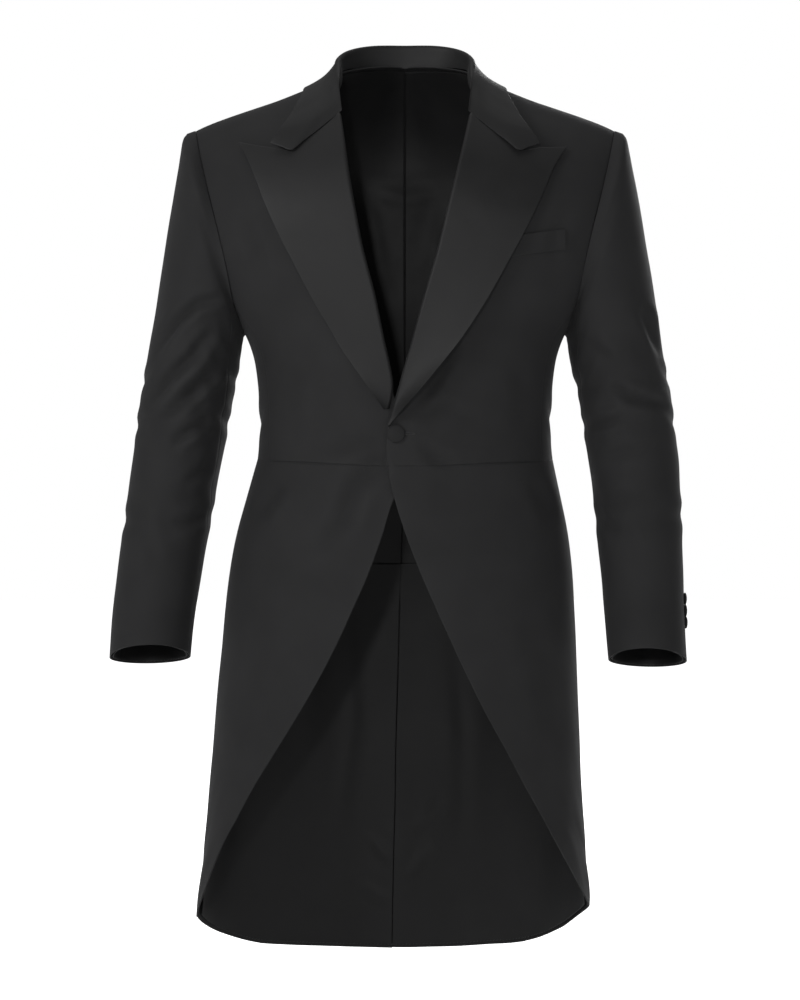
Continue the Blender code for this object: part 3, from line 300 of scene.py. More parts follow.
class StitchSizes(bpy.types.PropertyGroup):
    """Sizes of the hand stitches and of the row of cuff buttons."""

    felling_spacing: bpy.props.FloatProperty(
        name="Felling spacing", description="Distance between two lining stitches", default=0.0042,
        unit="LENGTH")
    buttonhole_spacing: bpy.props.FloatProperty(
        name="Buttonhole spacing", description="Distance between two buttonhole stitches", default=0.00075,
        unit="LENGTH")
    thread_radius: bpy.props.FloatProperty(
        name="Thread radius", description="Half the thickness of a thread", default=0.00022, unit="LENGTH")
    cuff_button_spacing: bpy.props.FloatProperty(
        name="Cuff button spacing", description="Distance between two cuff buttons", default=0.0145,
        unit="LENGTH")


class CoatColours(bpy.types.PropertyGroup):
    """Colours of the coat's materials."""

    cloth: bpy.props.FloatVectorProperty(
        name="Cloth", description="Colour of the wool", default=(0.0105, 0.0105, 0.0108), subtype="COLOR")
    satin: bpy.props.FloatVectorProperty(
        name="Satin", description="Colour of the lapels and collar", default=(0.0064, 0.0064, 0.0066),
        subtype="COLOR")
    lining: bpy.props.FloatVectorProperty(
        name="Lining", description="Colour of the linings", default=(0.0058, 0.0058, 0.0060),
        subtype="COLOR")
    button: bpy.props.FloatVectorProperty(
        name="Button", description="Colour of the covered buttons", default=(0.0072, 0.0072, 0.0074),
        subtype="COLOR")
    thread: bpy.props.FloatVectorProperty(
        name="Thread", description="Colour of the stitches", default=(0.010, 0.010, 0.0104),
        subtype="COLOR")


class StageSizes(bpy.types.PropertyGroup):
    """Floor, camera and lights."""

    floor_radius: bpy.props.FloatProperty(
        name="Floor radius", description="Radius of the floor", default=14.0, unit="LENGTH")
    floor_gap: bpy.props.FloatProperty(
        name="Floor gap", description="Height of the hem over the floor", default=0.05, unit="LENGTH")
    camera_distance: bpy.props.FloatProperty(
        name="Camera distance", description="Distance of the camera in front of the coat", default=3.4,
        unit="LENGTH")
    camera_drop: bpy.props.FloatProperty(
        name="Camera drop", description="How far the camera is below the neck", default=0.4897,
        unit="LENGTH")
    camera_shift: bpy.props.FloatProperty(
        name="Camera side step", description="How far the camera stands to the wearer's left",
        default=-0.0059, unit="LENGTH")
    focal_length: bpy.props.FloatProperty(
        name="Focal length", description="Focal length in mm on a 36 mm sensor", default=103.7,
        unit="CAMERA")
    key_power: bpy.props.FloatProperty(
        name="Key power", description="Power of the key light", default=70.0, unit="POWER")
    front_power: bpy.props.FloatProperty(
        name="Front power", description="Power of the small light beside the camera", default=44.0,
        unit="POWER")
    fill_power: bpy.props.FloatProperty(
        name="Fill power", description="Power of the fill light", default=14.0, unit="POWER")
    back_power: bpy.props.FloatProperty(
        name="Back power", description="Power of the light behind the coat", default=60.0, unit="POWER")
    top_power: bpy.props.FloatProperty(
        name="Top power", description="Power of the light from above", default=22.0, unit="POWER")
    ambient: bpy.props.FloatProperty(
        name="Ambient", description="Strength of the light from all round", default=0.2)


# Reading the CAD walls


def smooth_step(value):
    """0 up to 0, 1 from 1 on, and a soft step between them."""
    value = np.clip(value, 0.0, 1.0)
    return value * value * (3 - 2 * value)


def between(value, limits):
    """0 before the first limit, 1 after the second, and a soft step between them."""
    return smooth_step((value - limits[0]) / (limits[1] - limits[0]))


def unit(vectors):
    """Vectors of length 1."""
    return vectors / np.linalg.norm(vectors, axis=-1, keepdims=True)


def wall_sheets(mesh, thickness):
    """The two sides of a wall as sets of faces: what is left without the rim's faces."""
    mates = {edge for edge in mesh.edges if abs(edge.calc_length() - thickness) < MATE_TOLERANCE}
    left = {face for face in mesh.faces if not mates.intersection(face.edges)}
    sheets = []
    while left:
        waiting = [left.pop()]
        sheet = set(waiting)
        while waiting:
            for edge in waiting.pop().edges:
                for face in edge.link_faces:
                    if face in left:
                        left.remove(face)
                        sheet.add(face)
                        waiting.append(face)
        sheets.append(sheet)
    return sheets


def border_loop(sheet):
    """Vertices round a sheet in order."""
    beside = {}
    for face in sheet:
        for edge in face.edges:
            if sum(other in sheet for other in edge.link_faces) == 1:
                first, second = edge.verts
                beside.setdefault(first, []).append(second)
                beside.setdefault(second, []).append(first)
    loop = [next(iter(beside))]
    before = None
    while True:
        ahead = [vertex for vertex in beside[loop[-1]] if vertex is not before]
        before = loop[-1]
        if ahead[0] is loop[0] and len(loop) > 2:
            return loop
        loop.append(ahead[0])


def fill_grid(loop, start, rows, columns, faces_of):
    """Fills a grid from two of its borders, cell by cell, or returns None where it doesn't close."""
    count = len(loop)
    grid = [[None] * columns for _ in range(rows)]
    for column in range(columns):
        grid[0][column] = loop[(start + column) % count]
    for row in range(rows):
        grid[row][0] = loop[(start - row) % count]
    used = set()

    def across(first, second):
        """The unused face on an edge, and its third vertex."""
        for face in faces_of.get(frozenset((first, second)), ()):
            if face not in used:
                used.add(face)
                return next(vertex for vertex in face.verts if vertex not in (first, second))
        return None

    for row in range(1, rows):
        for column in range(1, columns):
            before, above, left = grid[row - 1][column - 1], grid[row - 1][column], grid[row][column - 1]
            corner = across(before, above)
            if corner is left:
                corner = across(above, left)
            elif corner is not None and across(before, left) is not corner:
                return None
            if corner is None:
                return None
            grid[row][column] = corner
    places = {vertex for line in grid for vertex in line}
    if len(places) != rows * columns:
        return None
    return grid


def sheet_grid(node, sheet, rows, columns):
    """Points of one side of a wall in rows and columns."""
    loop = border_loop(sheet)
    count = len(loop)
    if count != 2 * (rows + columns) - 4:
        raise RuntimeError(f"{node}: its border has {count} points")
    faces_of = {}
    for face in sheet:
        for edge in face.edges:
            faces_of.setdefault(frozenset(edge.verts), []).append(face)
    turns = []
    for place, vertex in enumerate(loop):
        before = vertex.co - loop[place - 1].co
        after = loop[(place + 1) % count].co - vertex.co
        turns.append(before.angle(after))
    corners = (0, columns - 1, columns + rows - 2, 2 * columns + rows - 3)
    starts = sorted(range(count),
                    key=lambda start: -sum(turns[(start + corner) % count] for corner in corners))
    for start in starts:
        grid = fill_grid(loop, start, rows, columns, faces_of)
        if grid:
            return np.array([[vertex.co[:] for vertex in line] for line in grid])
    raise RuntimeError(f"{node}: its points don't make a grid of {rows} by {columns}")


def arranged(grid, row_measure, column_measure):
    """Turns a grid so that one measure grows down its rows and another along its columns."""
    down, along = MEASURES[row_measure], MEASURES[column_measure]
    if grid.shape[0] == grid.shape[1]:
        by_rows = abs(down(grid[-1]).mean() - down(grid[0]).mean())
        by_columns = abs(down(grid[:, -1]).mean() - down(grid[:, 0]).mean())
        if by_columns > by_rows:
            grid = grid.transpose(1, 0, 2)
    if down(grid[-1]).mean() < down(grid[0]).mean():
        grid = grid[::-1]
    if along(grid[:, -1]).mean() < along(grid[:, 0]).mean():
        grid = grid[:, ::-1]
    return grid


def way_out(kind, side, point):
    """Rough direction away from the wearer at a point of a wall."""
    if kind in ("lapel", "chest_welt"):
        return Vector((0, -1, 0))
    if kind in ("top_sleeve", "under_sleeve"):
        first, last = ARM_LINE
        share = (-point.z / MM - first[2]) / (last[2] - first[2])
        middle = [low + (high - low) * share for low, high in zip(first, last)]
        return Vector((point.x - OUTWARDS[side] * middle[0] * MM, point.y - middle[1] * MM, 0))
    return Vector((point.x, point.y, 0))


def settled(points):
    """Points let down a little beside the neck and at the hem's corners, where soft cloth settles."""
    across, drop = points[..., 0] / MM, -points[..., 2] / MM
    shoulder = SHOULDER_LINE[0] + SHOULDER_LINE[1] * np.abs(across)
    near = 1 - between(drop - shoulder, (12.0, 115.0))
    down = np.interp(np.abs(across), *zip(*SHOULDER_SETTLING)) * near
    down += np.interp(across, *zip(*HEM_SETTLING)) * between(drop, (850.0, 1000.0))
    moved = points.copy()
    moved[..., 2] -= down * MM
    return moved


def cad_wall(kind, side=None):
    """Outer points of a CAD wall in rows and columns, and the way out at each."""
    node = f"{kind}_{side}" if side else kind
    rows, columns, thickness = WALLS[kind]
    mesh = bmesh.new()
    mesh.from_mesh(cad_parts[node].data)
    bmesh.ops.remove_doubles(mesh, verts=mesh.verts, dist=MERGE_DISTANCE)
    sheets = wall_sheets(mesh, thickness * MM)
    if len(sheets) != 2:
        raise RuntimeError(f"{node}: its wall has {len(sheets)} sides")
    grids = []
    for sheet in sheets:
        faces_out = sum(face.normal.dot(way_out(kind, side, face.calc_center_median())) * face.calc_area()
                        for face in sheet)
        grid = arranged(sheet_grid(node, sheet, rows, columns), *WALL_ORDER.get(kind, ("down", "out")))
        grids.append((faces_out, grid))
    mesh.free()
    outer, inner = (grid for _, grid in sorted(grids, key=lambda pair: -pair[0]))
    return settled(outer), unit(outer - inner)


# Fine surfaces


class Line:
    """Places along one direction of a grid, and the weights of its points on a smooth curve there."""

    def __init__(self, lengths, step, breaks=(), closed=False, creases=(), support=0.0013):
        self.lengths = lengths
        self.breaks = breaks
        self.closed = closed
        self.count = len(lengths) if closed else len(lengths) + 1
        self.knots = np.concatenate(([0.0], np.cumsum(lengths)))
        places = []
        for first, length in zip(self.knots, lengths):
            parts = max(1, math.ceil(length / step))
            places += [first + length * part / parts for part in range(parts)]
        places.append(self.knots[-1])
        for knot in (self.knots[0], self.knots[-1]):
            for place in (knot - support, knot + support):
                if not closed and 0 < place < self.knots[-1]:
                    places.append(place)
        for knot in creases:
            places += [self.knots[knot] + offset * MM for offset in CREASE_OFFSETS]
        self.places = np.array(sorted(places))
        self.weights = np.array([self.weights_at(place) for place in self.places])

    def rise(self, interval):
        """Weights of the slope of one interval."""
        weights = np.zeros(self.count)
        weights[(interval + 1) % self.count] += 1 / self.lengths[interval]
        weights[interval] -= 1 / self.lengths[interval]
        return weights

    def slope(self, knot, interval):
        """Weights of the slope at a knot, for the interval beside it that is being filled."""
        intervals = len(self.lengths)
        other = knot - 1 if interval == knot % intervals or interval == knot else knot
        ends = not self.closed and knot in (0, intervals)
        if self.closed:
            other %= intervals
        near = self.lengths[interval]
        if ends or knot in self.breaks:
            far_interval = interval + 1 if interval == knot else interval - 1
            far_end = interval + 1 if interval == knot else interval
            if not 0 <= far_interval < intervals or far_end in self.breaks:
                return self.rise(interval)
            far = self.lengths[far_interval]
            return (self.rise(interval) * (1 + near / (near + far))
                    - self.rise(far_interval) * near / (near + far))
        far = self.lengths[other]
        return (self.rise(interval) * far + self.rise(other) * near) / (near + far)

    def weights_at(self, place):
        """Weights of all points at a place, on a cubic curve."""
        interval = min(int(np.searchsorted(self.knots, place, side="right")) - 1, len(self.lengths) - 1)
        length = self.lengths[interval]
        share = (place - self.knots[interval]) / length
        weights = (2 * share ** 3 - 3 * share ** 2 + 1) * self.unit_weight(interval)
        weights += (3 * share ** 2 - 2 * share ** 3) * self.unit_weight(interval + 1)
        weights += (share ** 3 - 2 * share ** 2 + share) * length * self.slope(interval, interval)
        weights += (share ** 3 - share ** 2) * length * self.slope(interval + 1, interval)
        return weights

    def unit_weight(self, knot):
        """Weights of one point alone."""
        weights = np.zeros(self.count)
        weights[knot % self.count] = 1.0
        return weights


class Surface:
    """A fine grid of points, the way out of the cloth at each, and the distances along both directions."""

    def __init__(self, points, ways, across, down):
        self.points = points
        self.ways = unit(ways)
        self.across = across
        self.down = down
        self.folds = np.zeros(points.shape[:2])

    def raised(self, heights):
        """The surface moved along its ways out."""
        surface = Surface(self.points + self.ways * heights[..., None], self.ways, self.across, self.down)
        surface.folds = self.folds + heights
        return surface

    def between_columns(self, first, last):
        """The surface from one column to another."""
        part = Surface(self.points[:, first:last + 1], self.ways[:, first:last + 1],
                       self.across[first:last + 1] - self.across[first], self.down)
        part.folds = self.folds[:, first:last + 1]
        return part

    def flat_size(self):
        """Width, length and area of the cloth when it lies flat."""
        width = np.linalg.norm(np.diff(self.points, axis=1), axis=2).sum(axis=1).max()
        length = np.linalg.norm(np.diff(self.points, axis=0), axis=2).sum(axis=0).max()
        first = self.points[1:, 1:] - self.points[:-1, :-1]
        second = self.points[1:, :-1] - self.points[:-1, 1:]
        area = np.linalg.norm(np.cross(first, second), axis=2).sum() / 2
        return float(width), float(length), float(min(area, width * length))


def mean_steps(points, axis):
    """Mean distances between neighbouring rows, axis 0, or columns, axis 1."""
    return np.linalg.norm(np.diff(points, axis=axis), axis=2).mean(axis=1 - axis)


def fine_surface(points, ways, step, breaks=(), closed=False, row_breaks=(), creases=()):
    """A smooth surface through a grid of points, which may bend at breaks and has finer steps at creases."""
    down = Line(mean_steps(points, 0), step, breaks=row_breaks)
    if closed:
        ring = np.concatenate((points, points[:, :1]), axis=1)
        across = Line(mean_steps(ring, 1), step, closed=True)
    else:
        across = Line(mean_steps(points, 1), step, breaks=breaks, creases=creases)
    fine_points = np.einsum("ri,ijk,cj->rck", down.weights, points, across.weights)
    fine_ways = np.einsum("ri,ijk,cj->rck", down.weights, ways, across.weights)
    return Surface(fine_points, fine_ways, across.places, down.places), across


def tucked(surface, border, reach, sink):
    """Adds a strip past a border that dips under the neighbour. Border: top, bottom, first or last."""
    axis = 0 if border in ("top", "bottom") else 1
    back = border in ("bottom", "last")

    def lines(values):
        values = np.swapaxes(values, 0, axis)
        return values[::-1] if back else values

    def restored(values):
        values = values[::-1] if back else values
        return np.swapaxes(values, 0, axis)

    points, ways, folds = lines(surface.points), lines(surface.ways), lines(surface.folds)
    reach = np.broadcast_to(reach, len(points[0]))[:, None]
    sink = np.broadcast_to(sink, len(points[0]))[:, None]
    step = unit(points[0] - points[1])
    near = points[0] + step * reach * 0.3 - ways[0] * sink * 0.8
    far = points[0] + step * reach - ways[0] * sink
    points = np.concatenate((far[None], near[None], points))
    ways = np.concatenate((ways[:1], ways[:1], ways))
    folds = np.concatenate((folds[:1], folds[:1], folds))
    extra = float(np.mean(reach + sink))
    measures = [surface.across, surface.down]
    old = measures[1 - axis]
    if back:
        measures[1 - axis] = np.concatenate((old, (old[-1] + 0.4 * extra, old[-1] + extra)))
    else:
        measures[1 - axis] = np.concatenate(((0.0, 0.6 * extra), old + extra))
    result = Surface(restored(points), restored(ways), *measures)
    result.folds = restored(folds)
    return result


def drawn_in(surface, amounts, hold):
    """Moves the first border of a surface inwards along its rows; columns past the held one stay."""
    shares = surface.across / surface.across[-1]
    points = surface.points.copy()
    ways = surface.ways.copy()
    widths = np.linalg.norm(np.diff(points, axis=1), axis=2).sum(axis=1)
    for row, (amount, width) in enumerate(zip(amounts, widths)):
        start = min(amount / width, 0.8 * hold)
        places = np.where(shares < hold, shares + start * (1 - shares / hold), shares)
        for axis in range(3):
            points[row, :, axis] = np.interp(places, shares, surface.points[row, :, axis])
            ways[row, :, axis] = np.interp(places, shares, surface.ways[row, :, axis])
    result = Surface(points, ways, surface.across, surface.down)
    result.folds = surface.folds
    return result


# Folds


def seen_places(surface, view, stage):
    """Across and drop in mm of each point in a view, and how far each faces that view."""
    points = surface.points / MM
    ways = surface.ways
    if view == "front":
        distance = stage.camera_distance / MM
        middle, level = stage.camera_shift / MM, -stage.camera_drop / MM
        scale = distance / (distance + points[..., 1])
        across = middle + (points[..., 0] - middle) * scale
        return across, -(level + (points[..., 2] - level) * scale), -ways[..., 1]
    if view == "back":
        return points[..., 0], -points[..., 2], ways[..., 1]
    if view == "left":
        return points[..., 1], -points[..., 2], ways[..., 0]
    return points[..., 1], -points[..., 2], -ways[..., 0]


def one_fold(across, drop, places, half_width, depth, ridges):
    """Heights of one fold: a trough with a low ridge on each side, run out at both ends."""
    nearest = np.full(across.shape, np.inf)
    beside = np.zeros(across.shape)
    along = np.zeros(across.shape)
    steps = [math.dist(first, second) for first, second in zip(places, places[1:])]
    total = sum(steps)
    start = 0.0
    for first, second, length in zip(places, places[1:], steps):
        way = ((second[0] - first[0]) / length, (second[1] - first[1]) / length)
        offset = (across - first[0], drop - first[1])
        share = np.clip((offset[0] * way[0] + offset[1] * way[1]) / length, 0, 1)
        gap = np.hypot(offset[0] - way[0] * share * length, offset[1] - way[1] * share * length)
        nearer = gap < nearest
        nearest = np.where(nearer, gap, nearest)
        beside = np.where(nearer, np.sign(offset[0] * way[1] - offset[1] * way[0]), beside)
        along = np.where(nearer, (start + share * length) / total, along)
        start += length
    strength = depth * np.sin(np.pi * np.clip(along, 0.0, 1.0)) ** 0.7
    ridge = np.where(beside > 0, ridges[0], ridges[1])
    trough = np.exp(-(nearest / half_width) ** 2)
    sides = ridge * np.exp(-((nearest - 1.9 * half_width) / half_width) ** 2)
    return strength * (sides - trough)


def fold_heights(surface, kinds, cloth, stage):
    """Heights of all folds on a surface, in metres."""
    heights = np.zeros(surface.points.shape[:2])
    for kind, view, half_width, depth, places in FOLDS:
        if kind in kinds:
            across, drop, facing = seen_places(surface, view, stage)
            fold = one_fold(across, drop, places, half_width, depth, RIDGES[kind])
            heights += between(facing, FACING_LIMITS) * fold
    x, y, drop = surface.points[..., 0] / MM, surface.points[..., 1] / MM, -surface.points[..., 2] / MM
    if "body" in kinds:
        turn = np.arctan2(x, -y)
        flutes = np.sin(9 * turn + 0.6) + 0.5 * np.sin(14 * turn + drop / 260)
        aside = between(np.abs(turn), (0.5, 1.1))
        heights += FLUTE_DEPTH * 0.5 * flutes * between(drop, FLUTE_DROPS) * aside
        heights += 0.45 * np.sin(x / 31 + drop / 47) * np.sin(drop / 39 - x / 83) * between(drop, (60, 200))
    if "sleeve" in kinds:
        calm = between(drop, (120, 260)) * (1 - between(drop, (600, 660)))
        heights += 0.4 * np.sin(drop / 17 + x / 29 + y / 37) * np.sin(drop / 41 - y / 23) * calm
    return heights * MM * cloth.fold_strength


# Pieces from surfaces


def make_piece(name, vertices, faces, materials, uv=None, marks=None, inside=None):
    """Makes an object of a mesh, with its UV map, its marks for the materials and its smooth shading."""
    data = bpy.data.meshes.new(name)
    data.from_pydata(vertices.tolist(), [], faces)
    for finish in materials:
        data.materials.append(finish)
    if uv is not None:
        corners = np.empty(len(data.loops), int)
        data.loops.foreach_get("vertex_index", corners)
        layer = data.uv_layers.new(name="Cloth")
        layer.data.foreach_set("uv", uv[corners].ravel())
    for mark, values in (marks or {}).items():
        data.attributes.new(mark, "FLOAT", "POINT").data.foreach_set("value", values)
    if inside is not None:
        data.polygons.foreach_set("material_index", inside)
    data.shade_smooth()
    data.update()
    piece = bpy.data.objects.new(name, data)
    bpy.context.scene.collection.objects.link(piece)
    return piece


# Rows and columns of each shell's sides, by the piece's name
GRID_SIZES = {}


def shell(name, surface, thickness, materials, reach=(0.0, 0.0, 0.0, 0.0)):
    """A closed cloth shell under a surface, with round edges. Reach: top, bottom, first and last column."""
    points = surface.points
    rows, columns = points.shape[:2]
    radius = thickness / 2
    pulled = points.copy()
    out = np.zeros_like(points)
    borders = ((np.s_[0, :], np.s_[1, :]), (np.s_[-1, :], np.s_[-2, :]),
               (np.s_[:, 0], np.s_[:, 1]), (np.s_[:, -1], np.s_[:, -2]))
    for (edge, beside), extra in zip(borders, reach):
        extra = np.reshape(extra, (-1, 1))
        step = points[edge] - points[beside]
        length = np.linalg.norm(step, axis=1, keepdims=True)
        way = step / np.maximum(length, 1e-9)
        inset = np.minimum(radius, 0.45 * length)
        pulled[edge] += way * (extra - inset)
        out[edge] += way * inset
    numbers = np.arange(rows * columns).reshape(rows, columns)
    loop = np.concatenate((numbers[0, :-1], numbers[:-1, -1], numbers[-1, :0:-1], numbers[:0:-1, 0]))
    top = pulled.reshape(-1, 3)
    ways = surface.ways.reshape(-1, 3)
    sideways = out.reshape(-1, 3)
    parts = [top, top - ways * thickness]
    rings = [loop]
    count = len(top)
    for step, angle in enumerate((45, 0, -45)):
        turn = math.radians(angle)
        ring = (top[loop] - ways[loop] * radius + sideways[loop] * math.cos(turn)
                + ways[loop] * radius * math.sin(turn))
        parts.append(ring)
        rings.append(np.arange(len(loop)) + 2 * count + step * len(loop))
    rings.append(loop + count)
    first, right = numbers[:-1, :-1].ravel(), numbers[:-1, 1:].ravel()
    below, opposite = numbers[1:, :-1].ravel(), numbers[1:, 1:].ravel()
    quads = [np.stack((first, right, opposite, below), axis=1),
             np.stack((first, below, opposite, right), axis=1) + count]
    for high, low in zip(rings, rings[1:]):
        quads.append(np.stack((np.roll(high, -1), high, low, np.roll(low, -1)), axis=1))
    faces = np.concatenate(quads)
    along = points[:, 1:] - points[:, :-1]
    down = points[1:] - points[:-1]
    if (np.cross(along[:-1], down[:, :-1]) * surface.ways[:-1, :-1]).sum() < 0:
        faces = faces[:, ::-1]
    inside = np.zeros(len(faces), int)
    if len(materials) > 1:
        inside[len(first):2 * len(first)] = 1
    grid_uv = np.stack(np.meshgrid(surface.across, surface.down), axis=-1).reshape(-1, 2)
    uv = np.concatenate([grid_uv, grid_uv] + [grid_uv[loop] + 0.0004 * step for step in (1, 2, 3)])
    # Marks for the materials: nearness to the panel's edges feeds painted shade along the wool's seams and
    # edges and a painted highlight on the satin's edges; the fold heights feed painted light and shade on
    # the folds of the wool and the linings.
    near = np.minimum(np.minimum(surface.across, surface.across[-1] - surface.across)[None, :],
                      np.minimum(surface.down, surface.down[-1] - surface.down)[:, None]).ravel()
    edge = np.exp(-near / 0.004)
    fold = surface.folds.ravel() / MM
    marks = {
        "edge": np.concatenate([edge, edge] + [np.ones(len(loop))] * 3),
        "fold": np.concatenate([fold, fold] + [fold[loop]] * 3),
    }
    GRID_SIZES[name] = (rows, columns)
    return make_piece(name, np.concatenate(parts), faces.tolist(), materials, uv, marks, inside)


def declare(piece, nodes, surface=None):
    """Hangs a piece on the root, hides the CAD parts that it takes the place of, and prints the flat size of
    its cloth.
    """
    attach(piece, "root")
    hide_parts(*nodes)
    if surface is not None:
        width, length, area = surface.flat_size()
        print(f"SHEET {piece.name} {width:.3f} x {length:.3f} m, {area:.4f} m2")


# Materials


class Value:
    """A shader socket that can be used in Python expressions on numbers."""

    def __init__(self, shader, socket):
        self.shader = shader
        self.socket = socket

    def combine(self, operation, first, second=None):
        values = {0: first}
        if second is not None:
            values[1] = second
        return self.shader.node("ShaderNodeMath", {"operation": operation}, values)

    def __add__(self, other):
        return self.combine("ADD", self, other)

    def __radd__(self, other):
        return self.combine("ADD", other, self)

    def __sub__(self, other):
        return self.combine("SUBTRACT", self, other)

    def __rsub__(self, other):
        return self.combine("SUBTRACT", other, self)

    def __mul__(self, other):
        return self.combine("MULTIPLY", self, other)

    def __rmul__(self, other):
        return self.combine("MULTIPLY", other, self)

    def sine(self):
        return self.combine("SINE", self)

    def clamped(self):
        return self.combine("MINIMUM", self.combine("MAXIMUM", self, 0.0), 1.0)


class Shader:
    """The nodes of a material, or of the world."""

    def __init__(self, owner, last="Principled BSDF"):
        self.owner = owner
        owner.use_nodes = True
        self.tree = owner.node_tree
        self.surface = self.tree.nodes[last]

    def node(self, kind, settings=None, values=None, output=0):
        """Adds a node: its settings are set first, then the values or links of its sockets."""
        node = self.tree.nodes.new(kind)
        for name, setting in (settings or {}).items():
            setattr(node, name, setting)
        self.feed(node, values or {})
        return Value(self, node.outputs[output])

    def feed(self, node, values):
        """Sets or links sockets of a node."""
        for name, value in values.items():
            if isinstance(value, Value):
                self.tree.links.new(value.socket, node.inputs[name])
            else:
                node.inputs[name].default_value = value

    def finish(self, values):
        """Feeds the last node, and returns what the nodes belong to."""
        self.feed(self.surface, values)
        return self.owner

    def uv(self):
        """Distances across and down the cloth, in mm."""
        place = self.node("ShaderNodeUVMap", {"uv_map": "Cloth"})
        across = self.node("ShaderNodeSeparateXYZ", None, {"Vector": place}, output="X")
        down = self.node("ShaderNodeSeparateXYZ", None, {"Vector": place}, output="Y")
        return across * (1 / MM), down * (1 / MM)

    def mark(self, name):
        """A value stored on the piece's points."""
        return self.node("ShaderNodeAttribute", {"attribute_name": name}, output="Fac")

    def noise(self, size, detail=2.0, roughness=0.5):
        """Noise with grains of about a size in mm, on the object's own coordinates."""
        place = self.node("ShaderNodeTexCoord", output="Object")
        return self.node("ShaderNodeTexNoise", {"noise_dimensions": "3D"},
                         {"Vector": place, "Scale": 1 / (size * MM), "Detail": detail,
                          "Roughness": roughness})

    def tint(self, share, dark, light):
        """A colour between two, by a share."""
        return self.node("ShaderNodeMix", {"data_type": "RGBA"}, {
            "Factor": share, 6: (*dark, 1.0), 7: (*light, 1.0)}, output=2)

    def bump(self, height, depth, strength=1.0):
        """The normal of a surface with a relief, its depth in mm."""
        return self.node("ShaderNodeBump", None,
                         {"Strength": strength, "Distance": depth * MM, "Height": height}, output="Normal")


def shades(colour, low, high):
    """A darker and a lighter shade of a colour."""
    return [channel * low for channel in colour], [channel * high for channel in colour]


def wool(name, colour):
    """Black wool with a fine diagonal rib, a soft nap and slightly polished edges; its seams and edges are
    darkened with painted shade, its fold troughs with painted shade, and its fold ridges carry a painted
    highlight.
    """
    shader = Shader(bpy.data.materials.new(name))
    u, v = shader.uv()
    rib = ((u + v * 1.6) * (2 * math.pi / 1.15)).sine()
    yarn = ((u * 0.9 - v) * (2 * math.pi / 0.62)).sine()
    nap = shader.noise(1.4, 3.0, 0.65)
    cloudy = shader.noise(46.0, 2.0)
    height = rib * 0.30 + yarn * 0.15 + nap * 0.9
    edge = shader.mark("edge")
    fold = shader.mark("fold")
    # Painted light in the colour: the edge mark darkens seams and edges as painted shade; the fold mark
    # lightens fold ridges as a painted highlight and darkens fold troughs as painted shade.
    lightness = (0.30 + nap * 0.30 + (cloudy - 0.5) * 0.5 - edge * 0.10 + fold * 0.03 + rib * 0.05).clamped()
    roughness = (0.80 - edge * 0.10 + (nap - 0.5) * 0.12 - fold * 0.01).clamped()
    dark, light = shades(colour, 0.72, 1.65)
    return shader.finish({
        "Base Color": shader.tint(lightness, dark, light),
        "Roughness": roughness,
        "Normal": shader.bump(height, 0.10, 0.55),
        "Specular IOR Level": 0.16,
        "Sheen Weight": 0.05,
        "Sheen Roughness": 0.45,
        "Sheen Tint": (0.62, 0.62, 0.64, 1.0),
    })


def satin(name, colour):
    """Silk satin: close warp threads with slubs, a broad soft shine."""
    shader = Shader(bpy.data.materials.new(name))
    u, v = shader.uv()
    warp = (u * (2 * math.pi / 0.55)).sine()
    place = shader.node("ShaderNodeCombineXYZ", None, {"X": u * 1.3, "Y": v * 0.05})
    slub = shader.node("ShaderNodeTexNoise", {"noise_dimensions": "2D"},
                       {"Vector": place, "Scale": 1.0, "Detail": 2.0})
    cloudy = shader.noise(28.0, 2.0)
    edge = shader.mark("edge")
    # The satin's edges and rolls are painted lighter by the edge mark: partly edge wear, partly a painted
    # highlight on the rounded edges.
    lightness = (0.35 + (slub - 0.5) * 0.5 + (cloudy - 0.5) * 0.6 + edge * 0.15).clamped()
    roughness = (0.60 + (cloudy - 0.5) * 0.10 + (slub - 0.5) * 0.08 - edge * 0.05).clamped()
    dark, light = shades(colour, 0.75, 1.5)
    return shader.finish({
        "Base Color": shader.tint(lightness, dark, light),
        "Roughness": roughness,
        "Normal": shader.bump(warp * 0.3 + slub * 0.8, 0.05, 0.35),
        "Specular IOR Level": 0.22,
        "Sheen Weight": 0.03,
        "Sheen Roughness": 0.35,
    })


def twill(name, colour):
    """Lining twill: fine steep lines with a low sheen, and painted light and shade on its folds."""
    shader = Shader(bpy.data.materials.new(name))
    u, v = shader.uv()
    line = ((u * 1.0 + v * 0.55) * (2 * math.pi / 0.8)).sine()
    cloudy = shader.noise(34.0, 3.0)
    fine = shader.noise(1.1, 2.0)
    fold = shader.mark("fold")
    # Painted light and shade on the folds: the lining is lighter where a fold bulges inwards, towards the
    # inside of the coat, and darker where it sinks towards the cloth.
    lightness = (0.35 + (cloudy - 0.5) * 0.7 + line * 0.06 - fold * 0.04).clamped()
    roughness = (0.52 + (cloudy - 0.5) * 0.16 + (fine - 0.5) * 0.06).clamped()
    dark, light = shades(colour, 0.7, 1.6)
    return shader.finish({
        "Base Color": shader.tint(lightness, dark, light),
        "Roughness": roughness,
        "Normal": shader.bump(line * 0.25 + fine * 0.6 + cloudy * 4.0, 0.07, 0.4),
        "Specular IOR Level": 0.15,
        "Sheen Weight": 0.03,
        "Sheen Roughness": 0.4,
    })


